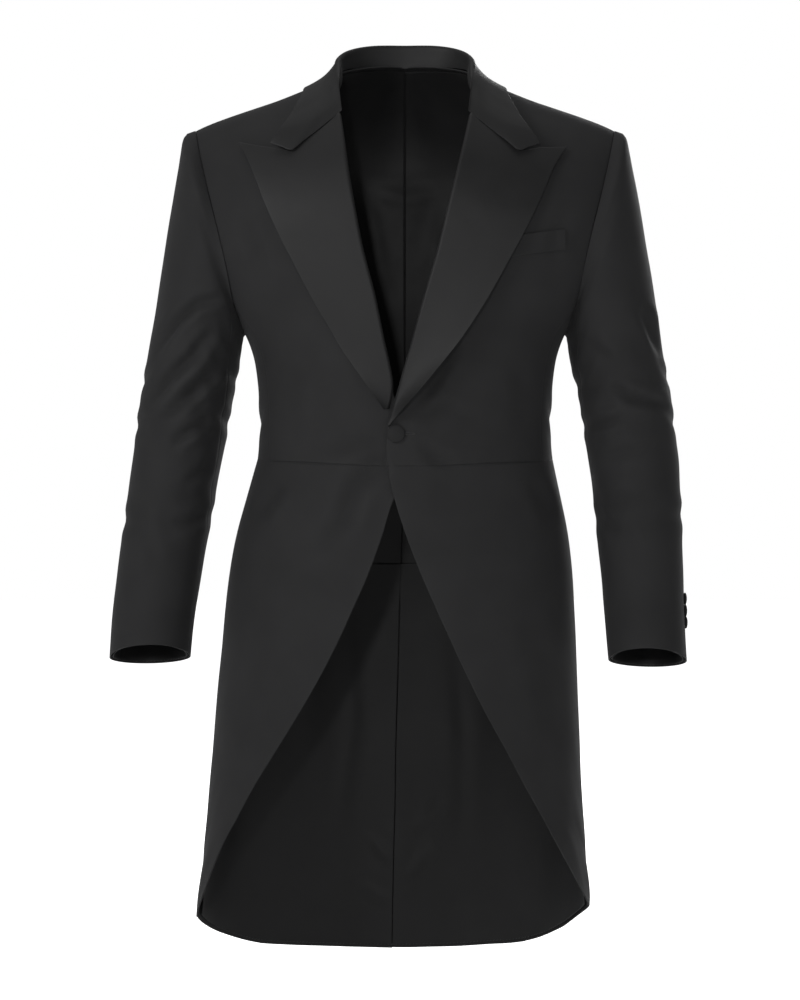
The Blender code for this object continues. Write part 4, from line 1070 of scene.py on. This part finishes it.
def covered(name, colour):
    """Cloth stretched over a button mould."""
    shader = Shader(bpy.data.materials.new(name))
    place = shader.node("ShaderNodeTexCoord", output="Object")
    threads = shader.node("ShaderNodeTexWave", {"wave_type": "BANDS", "bands_direction": "DIAGONAL"},
                          {"Vector": place, "Scale": 620.0, "Distortion": 1.5, "Detail": 2.0})
    fine = shader.noise(0.9, 2.0)
    lightness = (0.3 + threads * 0.35 + (fine - 0.5) * 0.4).clamped()
    dark, light = shades(colour, 0.7, 1.7)
    return shader.finish({
        "Base Color": shader.tint(lightness, dark, light),
        "Roughness": (0.74 + (fine - 0.5) * 0.15).clamped(),
        "Normal": shader.bump(threads * 0.6 + fine * 0.5, 0.06, 0.5),
        "Specular IOR Level": 0.16,
        "Sheen Weight": 0.04,
        "Sheen Roughness": 0.4,
    })


def spun(name, colour):
    """Waxed silk thread."""
    shader = Shader(bpy.data.materials.new(name))
    twist = shader.noise(0.35, 1.0)
    dark, light = shades(colour, 0.8, 1.4)
    return shader.finish({
        "Base Color": shader.tint(twist.clamped(), dark, light),
        "Roughness": (0.42 + (twist - 0.5) * 0.2).clamped(),
        "Normal": shader.bump(twist, 0.05, 0.5),
        "Specular IOR Level": 0.4,
    })


def pale_floor(name):
    """Plain pale studio floor."""
    shader = Shader(bpy.data.materials.new(name))
    cloudy = shader.noise(900.0, 2.0)
    return shader.finish({
        "Base Color": shader.tint(cloudy.clamped(), (0.90, 0.90, 0.90), (0.93, 0.93, 0.93)),
        "Roughness": 0.8,
        "Specular IOR Level": 0.1,
        "Emission Color": shader.tint(shader.node("ShaderNodeLightPath", output="Is Camera Ray"),
                                      (0.30, 0.30, 0.30), (1.0, 1.0, 1.0)),
        "Emission Strength": 1.0,
    })


MATERIALS = {}


def material(finish):
    """One of the coat's materials, made when it is first asked for."""
    makers = {"cloth": wool, "satin": satin, "lining": twill, "button": covered, "thread": spun}
    if finish not in MATERIALS:
        colour = list(getattr(bpy.context.scene.coat_colours, finish))
        MATERIALS[finish] = makers[finish]("coat_" + finish, colour)
    return MATERIALS[finish]


# Panels of the body


def body_surface(kind, side, scene):
    """Fine surface of a body panel before its folds."""
    points, ways = cad_wall(kind, side)
    surface, _ = fine_surface(points, ways, scene.coat_cloth.mesh_step)
    return surface


def folded_panel(surface, kinds, scene):
    """The surface with its folds."""
    return surface.raised(fold_heights(surface, kinds, scene.coat_cloth, scene.coat_stage))


def make_panel(kind, side, scene, reach, surface=None, tucks=()):
    """One body panel of cloth, lined inside. Tucks: borders that dip under their neighbours."""
    cloth = scene.coat_cloth
    node = f"{kind}_{side}"
    surface = surface or body_surface(kind, side, scene)
    surface = folded_panel(surface, ("body", "under"), scene)
    for border in tucks:
        surface = tucked(surface, border, cloth.tuck_reach, cloth.tuck_sink)
    extra = [cloth.seam_reach * seam for seam in reach]
    piece = shell("cloth_" + node, surface, cloth.shell_thickness,
                  (material("cloth"), material("lining")), extra)
    declare(piece, (node,), surface)
    return piece


class COAT_OT_foreparts(bpy.types.Operator):
    """Make both foreparts, drawn back behind the rolled lapels."""

    bl_idname = "coat.foreparts"
    bl_label = "Foreparts"

    def execute(self, context):
        scene = context.scene
        for side in SIDES:
            surface = body_surface("forepart", side, scene)
            drops = -surface.points[:, 0, 2] / MM
            amounts = scene.coat_lapel.roll_radius * (1 - between(drops, ROLL_END_DROPS))
            surface = drawn_in(surface, amounts, 0.3)
            make_panel("forepart", side, scene, (1, 1, 0, 1), surface)
        return {"FINISHED"}


class COAT_OT_side_bodies(bpy.types.Operator):
    """Make the panels under the arms."""

    bl_idname = "coat.side_bodies"
    bl_label = "Side bodies"

    def execute(self, context):
        for side in SIDES:
            make_panel("side_body", side, context.scene, (1, 1, 0, 0),
                       tucks=("first", "last"))
        return {"FINISHED"}


class COAT_OT_backs(bpy.types.Operator):
    """Make both halves of the back down to the hem."""

    bl_idname = "coat.backs"
    bl_label = "Backs"

    def execute(self, context):
        scene = context.scene
        for side in SIDES:
            points, ways = cad_wall("back", side)
            row_breaks = (WAIST_ROW, *VENT_ROWS) if side == "left" else (WAIST_ROW,)
            surface, _ = fine_surface(points, ways, scene.coat_cloth.mesh_step, row_breaks=row_breaks)
            drops = -surface.points[:, 0, 2] / MM
            start, end = CENTRE_REACH_DROPS
            centre = 1 + 3 * between(drops, start) * (1 - between(drops, end))
            tuck = np.concatenate((centre[:1], centre[:1], centre))
            make_panel("back", side, scene, (0, 0, tuck, 1), surface, tucks=("top",))
        return {"FINISHED"}


class COAT_OT_skirts(bpy.types.Operator):
    """Make both front skirts from the waist seam to the rounded hem."""

    bl_idname = "coat.skirts"
    bl_label = "Skirts"

    def execute(self, context):
        for side in SIDES:
            make_panel("skirt", side, context.scene, (0, 0, 0, 0),
                       tucks=("top", "last"))
        return {"FINISHED"}


# Lapels, collar and welt


def rolled_lapel(surface, lapel, notch_share):
    """The lapel's surface with its roll and the start of the facing before its first column."""
    widths = np.linalg.norm(np.diff(surface.points, axis=1), axis=2).sum(axis=1)
    radii = np.minimum(lapel.roll_radius, 0.34 * widths * notch_share / 0.45)
    flat = drawn_in(surface, radii, notch_share)
    start = surface.points[:, 0]
    up = surface.ways[:, 0]
    along = surface.points[:, 2] - surface.points[:, 0]
    along = unit(along - up * (along * up).sum(axis=1, keepdims=True))
    centre = start + along * radii[:, None] - up * radii[:, None]
    facing = lapel.facing_width * between(widths, FACING_GROWS)
    columns, ways = [], []
    for share in FACING_PLACES:
        columns.append(centre - up * radii[:, None] + along * (facing * share + 0.0004)[:, None])
        ways.append(-up)
    for angle in ROLL_ANGLES:
        turn = math.radians(angle)
        way = along * math.cos(turn) + up * math.sin(turn)
        columns.append(centre + way * radii[:, None])
        ways.append(way)
    points = np.concatenate((np.stack(columns, axis=1), flat.points), axis=1)
    all_ways = np.concatenate((np.stack(ways, axis=1), flat.ways), axis=1)
    steps = mean_steps(points, 1)
    across = np.concatenate(([0.0], np.cumsum(steps)))
    return Surface(points, all_ways, across, surface.down)


class COAT_OT_lapels(bpy.types.Operator):
    """Make both satin lapels with their rolled edges."""

    bl_idname = "coat.lapels"
    bl_label = "Lapels"

    def execute(self, context):
        scene = context.scene
        cloth, lapel = scene.coat_cloth, scene.coat_lapel
        for side in SIDES:
            node = "lapel_" + side
            points, ways = cad_wall("lapel", side)
            surface, line = fine_surface(points, ways, cloth.mesh_step, breaks=LAPEL_CORNERS)
            notch_share = line.knots[LAPEL_NOTCH_COLUMN] / line.knots[-1]
            shares = surface.across / surface.across[-1]
            drops = -surface.points[:, :, 2] / MM
            lift = lapel.edge_lift * shares[None, :] ** 2 * between(drops, LIFT_DROPS[side])
            lift *= between(drops, LIFT_END_DROPS)
            surface = surface.raised(lift)
            surface = surface.raised(fold_heights(surface, ("body",), cloth, scene.coat_stage))
            surface = rolled_lapel(surface, lapel, notch_share)
            under = between(surface.across / surface.across[-1], (notch_share + 0.06, notch_share - 0.02))
            surface = tucked(surface, "top", 0.0004 + 0.0046 * under, 0.0003 + 0.0006 * under)
            piece = shell("satin_" + node, surface, cloth.satin_thickness, (material("satin"),))
            declare(piece, (node,), surface)
        return {"FINISHED"}


def stand_behind(points, ways):
    """The collar's points, its stand's ends moved out behind its fold and its free edge laid down."""
    points = points.copy()
    for column, sink in enumerate(COLLAR_EDGE_SINKS):
        points[:, column] -= ways[:, column] * sink * MM
    for row, sink in COLLAR_END_SINKS.items():
        points[row] -= ways[row] * sink * MM
    fold = points[:, COLLAR_FOLD_COLUMN]
    share = between(-fold[:, 2] / MM, STAND_DROPS)
    for column in range(COLLAR_FOLD_COLUMN + 1, points.shape[1]):
        behind = np.abs(fold[:, 0]) + (column - COLLAR_FOLD_COLUMN) * 0.0006
        move = np.maximum(behind - np.abs(points[:, column, 0]), 0.0) * share
        points[:, column, 0] += np.sign(fold[:, 0]) * move
    return points


class COAT_OT_collar(bpy.types.Operator):
    """Make the satin collar, its fall and its stand in one."""

    bl_idname = "coat.collar"
    bl_label = "Collar"

    def execute(self, context):
        cloth = context.scene.coat_cloth
        points, ways = cad_wall("collar")
        surface, _ = fine_surface(stand_behind(points, ways), ways, 0.6 * cloth.mesh_step)
        at_ends = between(-surface.points[:, -1, 2] / MM, STAND_TUCK_DROPS)
        surface = tucked(surface, "last", 0.0005 + 0.0060 * at_ends, 0.0)
        piece = shell("satin_collar", surface, cloth.satin_thickness, (material("satin"),))
        declare(piece, ("collar",), surface)
        return {"FINISHED"}


class COAT_OT_welt(bpy.types.Operator):
    """Make the welt of the chest pocket."""

    bl_idname = "coat.welt"
    bl_label = "Chest welt"

    def execute(self, context):
        scene = context.scene
        cloth = scene.coat_cloth
        points, ways = cad_wall("chest_welt")
        surface, _ = fine_surface(points, ways, 0.5 * cloth.mesh_step)
        surface = surface.raised(fold_heights(surface, ("body",), cloth, scene.coat_stage))
        piece = shell("cloth_chest_welt", surface, cloth.welt_thickness, (material("cloth"),))
        declare(piece, ("chest_welt",), surface)
        return {"FINISHED"}


# Sleeves


def arm_surface(side, scene):
    """The whole tube of a sleeve, folded, with the columns of its two seams."""
    cloth = scene.coat_cloth
    top, top_ways = cad_wall("top_sleeve", side)
    under, under_ways = cad_wall("under_sleeve", side)
    ring = np.concatenate((top, under[:, 1:-1]), axis=1)
    ways = np.concatenate((top_ways, under_ways[:, 1:-1]), axis=1)
    surface, line = fine_surface(ring, ways, cloth.mesh_step, closed=True)
    seam = int(np.argmin(np.abs(line.places - line.knots[top.shape[1] - 1])))
    from_armhole = np.broadcast_to(surface.down[:, None], surface.points.shape[:2])
    level = np.exp(-((from_armhole - 0.009) / 0.008) ** 2)
    heights = cloth.sleeve_head * level * between(-surface.points[..., 2] / MM, (300.0, 120.0))
    folds = fold_heights(surface, ("sleeve",), cloth, scene.coat_stage)
    heights += folds * between(from_armhole, (0.0, 0.05))
    surface = surface.raised(heights)
    over_cuff = surface.down[-1] - surface.down[:, None]
    front = np.clip(-surface.ways[..., 1], 0.0, 1.0)
    rise = cloth.cuff_rise + cloth.cuff_front_rise * front
    surface.points[..., 2] += between(over_cuff, (0.080, 0.0)) * rise
    return surface, seam


class COAT_OT_sleeves(bpy.types.Operator):
    """Make the top and under sleeves and the lining turned into each cuff."""

    bl_idname = "coat.sleeves"
    bl_label = "Sleeves"

    def execute(self, context):
        scene = context.scene
        cloth = scene.coat_cloth
        seam_reach = (0.0, 0.0, cloth.seam_reach, cloth.seam_reach)
        for side in SIDES:
            tube, seam = arm_surface(side, scene)
            halves = {"top_sleeve": tube.between_columns(0, seam),
                      "under_sleeve": tube.between_columns(seam, len(tube.across) - 1)}
            for kind, surface in halves.items():
                node = f"{kind}_{side}"
                surface = tucked(surface, "top", 0.0006, 0.0030)
                piece = shell("cloth_" + node, surface, cloth.shell_thickness,
                              (material("cloth"), material("lining")), seam_reach)
                declare(piece, (node,), surface)
            self.make_cuff_lining(tube, side, cloth)
        return {"FINISHED"}

    def make_cuff_lining(self, tube, side, cloth):
        """A strip of lining round the inside of a cuff."""
        node = "cuff_lining_" + side
        height = tube.down[-1] - tube.down
        kept = np.flatnonzero((height > CUFF_STRIP[0]) & (height < CUFF_STRIP[1]))
        gap = cloth.shell_thickness + 0.0009 + cloth.cuff_gap * between(height[kept], (0.030, 0.003))
        folds = 0.0004 * np.sin(tube.across / 0.011) * between(height[kept], (0.004, 0.020))[:, None]
        points = tube.points[kept] - tube.ways[kept] * (gap[:, None] + folds)[..., None]
        surface = Surface(points, tube.ways[kept], tube.across, tube.down[kept] - tube.down[kept][0])
        piece = shell("lining_cuff_" + side, surface, cloth.lining_thickness, (material("lining"),))
        declare(piece, (node,), surface)


# Linings


class COAT_OT_linings(bpy.types.Operator):
    """Make the linings of the back and of both tails."""

    bl_idname = "coat.linings"
    bl_label = "Linings"

    def execute(self, context):
        scene = context.scene
        cloth = scene.coat_cloth
        plans = [("back_lining", None, ("back_left", "back_right"))]
        plans += [("tail_lining", side, ("back_" + side, "skirt_" + side)) for side in SIDES]
        for kind, side, rests_on in plans:
            node = f"{kind}_{side}" if side else kind
            points, ways = cad_wall(kind, side)
            seams = () if side else (LINING_SEAM_COLUMN,)
            surface, line = fine_surface(points, ways, cloth.mesh_step, creases=seams)
            heights = fold_heights(surface, ("body", "lining"), cloth, scene.coat_stage)
            for seam in seams:
                heights += cloth.seam_groove * np.exp(-((line.places - line.knots[seam]) / 0.0007) ** 2)
            surface = surface.raised(heights)
            reach = (0.0, 0.0, 0.0, 0.0)
            if side:
                drops = -surface.points[:, 0, 2] / MM
                reach = (0.0, 0.0, 0.0015 - 0.0007 * between(drops, (600.0, 616.0)), 0.0)
            else:
                surface = tucked(surface, "bottom", 0.006, 0.0)
            piece = shell("lining_" + node, surface, cloth.lining_thickness, (material("lining"),), reach)
            declare(piece, (node,), surface)
        return {"FINISHED"}


# Buttons and stitches


def button_seat(node, way):
    """Middle of a button's back, the way it faces, its radius and its thickness."""
    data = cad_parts[node].data
    points = np.array([vertex.co[:] for vertex in data.vertices])
    middle = points.mean(axis=0)
    axis = np.linalg.svd(points - middle)[2][2]
    if axis @ way < 0:
        axis = -axis
    heights = (points - middle) @ axis
    flat = points - middle - np.outer(heights, axis)
    return (middle + axis * heights.min(), axis, float(np.linalg.norm(flat, axis=1).max()),
            float(np.ptp(heights)))


def dome(radius, thick):
    """Vertices and faces of a covered button lying on its back at the origin."""
    vertices = [(0.0, 0.0, 0.0)]
    for across, up in DOME[1:-1]:
        for segment in range(DOME_SEGMENTS):
            turn = 2 * math.pi * segment / DOME_SEGMENTS
            vertices.append((radius * across * math.cos(turn), radius * across * math.sin(turn), thick * up))
    vertices.append((0.0, 0.0, thick))
    rings = len(DOME) - 2
    faces = []
    for segment in range(DOME_SEGMENTS):
        after = (segment + 1) % DOME_SEGMENTS
        faces.append((0, 1 + after, 1 + segment))
        for ring in range(rings - 1):
            low, high = 1 + ring * DOME_SEGMENTS, 1 + (ring + 1) * DOME_SEGMENTS
            faces.append((low + segment, low + after, high + after, high + segment))
        last = 1 + (rings - 1) * DOME_SEGMENTS
        faces.append((last + segment, last + after, len(vertices) - 1))
    return np.array(vertices), faces


def turned_to(axis):
    """Rotation that turns up into a direction."""
    return np.array(Vector(axis).to_track_quat("Z", "Y").to_matrix())


class COAT_OT_front_button(bpy.types.Operator):
    """Make the covered button that closes the fronts."""

    bl_idname = "coat.front_button"
    bl_label = "Front button"

    def execute(self, context):
        seat, axis, radius, thick = button_seat("front_button", np.array((0.0, -1.0, 0.0)))
        vertices, faces = dome(radius, thick)
        piece = make_piece("button_front", vertices @ turned_to(axis).T + seat, faces, (material("button"),))
        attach(piece, "root")
        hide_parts("front_button")
        return {"FINISHED"}


def repeat_tree():
    """Node group that sets copies of an object along a path, turned by the path's stored directions."""
    tree = bpy.data.node_groups.new("Repeat along a path", "GeometryNodeTree")
    tree.is_modifier = True
    interface = tree.interface
    interface.new_socket("Geometry", in_out="INPUT", socket_type="NodeSocketGeometry")
    interface.new_socket("Item", in_out="INPUT", socket_type="NodeSocketObject")
    interface.new_socket("Spacing", in_out="INPUT", socket_type="NodeSocketFloat")
    interface.new_socket("Unevenness", in_out="INPUT", socket_type="NodeSocketFloat")
    interface.new_socket("Seed", in_out="INPUT", socket_type="NodeSocketInt")
    interface.new_socket("Material", in_out="INPUT", socket_type="NodeSocketMaterial")
    interface.new_socket("Geometry", in_out="OUTPUT", socket_type="NodeSocketGeometry")
    nodes, links = tree.nodes, tree.links

    def add(kind, settings=None, values=None):
        node = nodes.new(kind)
        for name, setting in (settings or {}).items():
            setattr(node, name, setting)
        for name, value in (values or {}).items():
            if isinstance(value, bpy.types.NodeSocket):
                links.new(value, node.inputs[name])
            else:
                node.inputs[name].default_value = value
        return node

    given = add("NodeGroupInput").outputs
    path = add("GeometryNodeMeshToCurve", None, {"Mesh": given["Geometry"]})
    points = add("GeometryNodeResampleCurve", {"mode": "LENGTH"},
                 {"Curve": path.outputs["Curve"], "Length": given["Spacing"]})
    along = add("GeometryNodeInputNamedAttribute", {"data_type": "FLOAT_VECTOR"}, {"Name": "along"})
    up = add("GeometryNodeInputNamedAttribute", {"data_type": "FLOAT_VECTOR"}, {"Name": "up"})
    first = add("FunctionNodeAlignRotationToVector", {"axis": "X"}, {"Vector": along.outputs["Attribute"]})
    second = add("FunctionNodeAlignRotationToVector", {"axis": "Z", "pivot_axis": "X"},
                 {"Rotation": first.outputs["Rotation"], "Vector": up.outputs["Attribute"]})
    least = add("ShaderNodeMath", {"operation": "SUBTRACT"}, {0: 1.0, 1: given["Unevenness"]})
    most = add("ShaderNodeMath", {"operation": "ADD"}, {0: 1.0, 1: given["Unevenness"]})
    size = add("FunctionNodeRandomValue", {"data_type": "FLOAT"},
               {2: least.outputs[0], 3: most.outputs[0], "Seed": given["Seed"]})
    item = add("GeometryNodeObjectInfo", None, {"Object": given["Item"]})
    copies = add("GeometryNodeInstanceOnPoints", None, {
        "Points": points.outputs["Curve"], "Instance": item.outputs["Geometry"],
        "Rotation": second.outputs["Rotation"], "Scale": size.outputs[1]})
    real = add("GeometryNodeRealizeInstances", None, {"Geometry": copies.outputs["Instances"]})
    painted = add("GeometryNodeSetMaterial", None,
                  {"Geometry": real.outputs["Geometry"], "Material": given["Material"]})
    output = nodes.new("NodeGroupOutput")
    links.new(painted.outputs["Geometry"], output.inputs["Geometry"])
    return tree


def repeated(name, paths, item, spacing, unevenness, seed, finish):
    """A plain mesh of copies of an item along paths of points with their directions."""
    tree = bpy.data.node_groups.get("Repeat along a path") or repeat_tree()
    vertices, edges, along, up = [], [], [], []
    for path in paths:
        first = len(vertices)
        vertices += [tuple(place) for place, _, _ in path]
        along += [value for _, way, _ in path for value in way]
        up += [value for _, _, way in path for value in way]
        edges += [(first + step, first + step + 1) for step in range(len(path) - 1)]
    data = bpy.data.meshes.new(name)
    data.from_pydata(vertices, edges, [])
    data.attributes.new("along", "FLOAT_VECTOR", "POINT").data.foreach_set("vector", along)
    data.attributes.new("up", "FLOAT_VECTOR", "POINT").data.foreach_set("vector", up)
    guide = bpy.data.objects.new(name + "_path", data)
    bpy.context.scene.collection.objects.link(guide)
    modifier = guide.modifiers.new("Repeat", "NODES")
    modifier.node_group = tree
    values = {"Item": item, "Spacing": spacing, "Unevenness": unevenness, "Seed": seed,
              "Material": material(finish)}
    for socket in tree.interface.items_tree:
        if socket.in_out == "INPUT" and socket.name in values:
            modifier[socket.identifier] = values[socket.name]
    guide.update_tag()
    graph = bpy.context.evaluated_depsgraph_get()
    mesh = bpy.data.meshes.new_from_object(guide.evaluated_get(graph))
    guide.modifiers.remove(modifier)
    bpy.data.objects.remove(guide)
    if not mesh.polygons:
        raise RuntimeError(f"{name}: nothing was set along its path")
    for mark in ("along", "up"):
        if mark in mesh.attributes:
            mesh.attributes.remove(mesh.attributes[mark])
    mesh.name = name
    mesh.shade_smooth()
    piece = bpy.data.objects.new(name, mesh)
    bpy.context.scene.collection.objects.link(piece)
    return piece


class COAT_OT_cuff_buttons(bpy.types.Operator):
    """Make the row of three covered buttons on each cuff."""

    bl_idname = "coat.cuff_buttons"
    bl_label = "Cuff buttons"

    def execute(self, context):
        spacing = context.scene.coat_stitches.cuff_button_spacing
        for side in SIDES:
            nodes = [f"cuff_button_{side}_{number}" for number in (1, 2, 3)]
            seats = [button_seat(node, np.array((OUTWARDS[side], 0.6, 0.0))) for node in nodes]
            vertices, faces = dome(seats[0][2], seats[0][3])
            item = make_piece("button_cuff_item", vertices, faces, (material("button"),))
            places = np.array([seat[0] for seat in seats])
            way = unit(places[-1] - places[0])
            places[-1] = places[0] + way * 2.001 * spacing
            places[1] = places[0] + way * spacing
            path = [(place, way, seat[1]) for place, seat in zip(places, seats)]
            piece = repeated("button_cuffs_" + side, [path], item, spacing, 0.0, 3, "button")
            bpy.data.objects.remove(item)
            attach(piece, "root")
            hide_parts(*nodes)
        return {"FINISHED"}


def stitch_item(length, radius):
    """A short thread: a rounded rod of a few faces, lying along X."""
    mesh = bmesh.new()
    bmesh.ops.create_uvsphere(mesh, u_segments=6, v_segments=6, radius=1.0)
    for vertex in mesh.verts:
        x, y, z = vertex.co
        vertex.co = (z * length / 2, y * radius, x * radius)
    bmesh.ops.recalc_face_normals(mesh, faces=mesh.faces)
    data = bpy.data.meshes.new("stitch_item")
    mesh.to_mesh(data)
    mesh.free()
    item = bpy.data.objects.new("stitch_item", data)
    bpy.context.scene.collection.objects.link(item)
    return item


def surface_tree(piece):
    """A search tree over a piece's faces."""
    data = piece.data
    return BVHTree.FromPolygons([vertex.co for vertex in data.vertices],
                                [face.vertices for face in data.polygons])


class COAT_OT_stitches(bpy.types.Operator):
    """Sew the buttonhole and fell the linings at the cuffs and the hem."""

    bl_idname = "coat.stitches"
    bl_label = "Stitches"

    def execute(self, context):
        sizes = context.scene.coat_stitches
        self.sew_buttonhole(sizes)
        self.fell_linings(sizes)
        return {"FINISHED"}

    def sew_buttonhole(self, sizes):
        """Purl stitches round the buttonhole of the left front."""
        tree = surface_tree(bpy.data.objects["cloth_forepart_left"])
        path = []
        for step in range(BUTTONHOLE_STEPS + 1):
            turn = 2 * math.pi * step / BUTTONHOLE_STEPS
            bulge = math.copysign(abs(math.sin(turn)) ** 0.5, math.sin(turn))
            across = BUTTONHOLE_MIDDLE[0] + BUTTONHOLE_HALF[0] * math.cos(turn)
            drop = BUTTONHOLE_MIDDLE[1] + BUTTONHOLE_HALF[1] * bulge
            place, normal, _, _ = tree.ray_cast(Vector((across * MM, -1.0, -drop * MM)), Vector((0, 1, 0)))
            if place is None:
                raise RuntimeError("the buttonhole isn't on the left front")
            if normal.y > 0:
                normal = -normal
            path.append((place + normal * 0.00005, Vector((0, 0, 1)), normal))
        item = stitch_item(0.0015, sizes.thread_radius)
        piece = repeated("stitches_buttonhole", [path], item, sizes.buttonhole_spacing, 0.12, 11, "thread")
        bpy.data.objects.remove(item)
        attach(piece, "root")

    def fell_linings(self, sizes):
        """Slanting stitches along the lower edges of the linings."""
        item = stitch_item(0.0024, sizes.thread_radius)
        for name in [f"lining_{kind}_{side}" for kind in ("cuff", "tail_lining") for side in SIDES]:
            piece = self.fell(name, item, sizes)
            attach(piece, "root")
        bpy.data.objects.remove(item)

    def fell(self, name, item, sizes):
        """Stitches along the lower edge of one lining, on its inner face."""
        data = bpy.data.objects[name].data
        rows, columns = GRID_SIZES[name]
        first = 2 * rows * columns - columns
        inner = [data.vertices[first + column] for column in range(columns)]
        outer = [data.vertices[rows * columns - columns + column] for column in range(columns)]
        path = []
        for number, vertex in enumerate(inner):
            inwards = (vertex.co - outer[number].co).normalized()
            near, far = inner[max(number - 1, 0)].co, inner[min(number + 1, columns - 1)].co
            edge = (far - near).normalized()
            slant = (edge + inwards.cross(edge) * 0.9).normalized()
            path.append((vertex.co + inwards * 0.0001, slant, inwards))
        return repeated("stitches_" + name, [path], item, sizes.felling_spacing, 0.15, 7, "thread")


# Stage


class COAT_OT_stage(bpy.types.Operator):
    """Make the floor, the lights, the pale surroundings and the camera."""

    bl_idname = "coat.stage"
    bl_label = "Stage"

    def execute(self, context):
        scene = context.scene
        stage = scene.coat_stage
        self.make_floor(stage)
        for name, (place, width) in LIGHTS.items():
            self.light(name + "_light", place, width, getattr(stage, name + "_power"))
        self.make_world(scene, stage)
        data = bpy.data.cameras.new("photo_camera")
        data.lens = stage.focal_length
        data.sensor_width = 36.0
        camera = bpy.data.objects.new("photo_camera", data)
        camera.location = (stage.camera_shift, -stage.camera_distance, -stage.camera_drop)
        camera.rotation_euler = (math.radians(90.0), 0.0, 0.0)
        scene.collection.objects.link(camera)
        scene.camera = camera
        scene.view_settings.view_transform = "Standard"
        return {"FINISHED"}

    def make_floor(self, stage):
        """A round pale floor below the hem."""
        level = CAD_BOX[0][2] - stage.floor_gap
        vertices = [(0.0, 0.0, level)]
        for step in range(FLOOR_SEGMENTS):
            turn = 2 * math.pi * step / FLOOR_SEGMENTS
            across, back = stage.floor_radius * math.cos(turn), stage.floor_radius * math.sin(turn)
            vertices.append((across, back, level))
        faces = [(0, 1 + step, 1 + (step + 1) % FLOOR_SEGMENTS) for step in range(FLOOR_SEGMENTS)]
        floor = make_piece("studio_floor", np.array(vertices), faces, (pale_floor("studio_floor"),))

    def light(self, name, place, width, power):
        """A soft square light that looks at the middle of the coat."""
        data = bpy.data.lights.new(name, "AREA")
        data.size = width
        data.energy = power
        lamp = bpy.data.objects.new(name, data)
        lamp.location = place
        way = Vector(LIGHTS_LOOK_AT) - Vector(place)
        lamp.rotation_euler = way.to_track_quat("-Z", "Y").to_euler()
        bpy.context.scene.collection.objects.link(lamp)

    def make_world(self, scene, stage):
        """White surroundings that light the coat softly."""
        shader = Shader(bpy.data.worlds.new("studio_white"), "Background")
        seen = shader.node("ShaderNodeLightPath", output="Is Camera Ray")
        scene.world = shader.finish({
            "Color": (1.0, 1.0, 1.0, 1.0),
            "Strength": seen * (1 - stage.ambient) + stage.ambient,
        })


class COAT_PT_panel(bpy.types.Panel):
    """The steps that make the coat, in order."""

    bl_label = "Tailcoat"
    bl_idname = "COAT_PT_panel"
    bl_space_type = "VIEW_3D"
    bl_region_type = "UI"
    bl_category = "Tailcoat"

    def draw(self, context):
        for operator in STEPS:
            self.layout.operator(operator.bl_idname)


GROUPS = {
    "coat_cloth": ClothSizes,
    "coat_lapel": LapelSizes,
    "coat_stitches": StitchSizes,
    "coat_colours": CoatColours,
    "coat_stage": StageSizes,
}
STEPS = (
    COAT_OT_foreparts, COAT_OT_side_bodies, COAT_OT_backs, COAT_OT_skirts, COAT_OT_lapels, COAT_OT_collar,
    COAT_OT_welt, COAT_OT_sleeves, COAT_OT_linings, COAT_OT_front_button, COAT_OT_cuff_buttons,
    COAT_OT_stitches, COAT_OT_stage,
)


def register():
    for group in GROUPS.values():
        bpy.utils.register_class(group)
    for name, group in GROUPS.items():
        setattr(bpy.types.Scene, name, bpy.props.PointerProperty(type=group))
    for operator in STEPS:
        bpy.utils.register_class(operator)
    bpy.utils.register_class(COAT_PT_panel)


def unregister():
    bpy.utils.unregister_class(COAT_PT_panel)
    for operator in reversed(STEPS):
        bpy.utils.unregister_class(operator)
    for name in GROUPS:
        delattr(bpy.types.Scene, name)
    for group in reversed(list(GROUPS.values())):
        bpy.utils.unregister_class(group)


def main():
    """Makes the coat and its stage."""
    register()
    for operator in STEPS:
        group, name = operator.bl_idname.split(".")
        getattr(getattr(bpy.ops, group), name)()


if __name__ == "__main__":
    main()
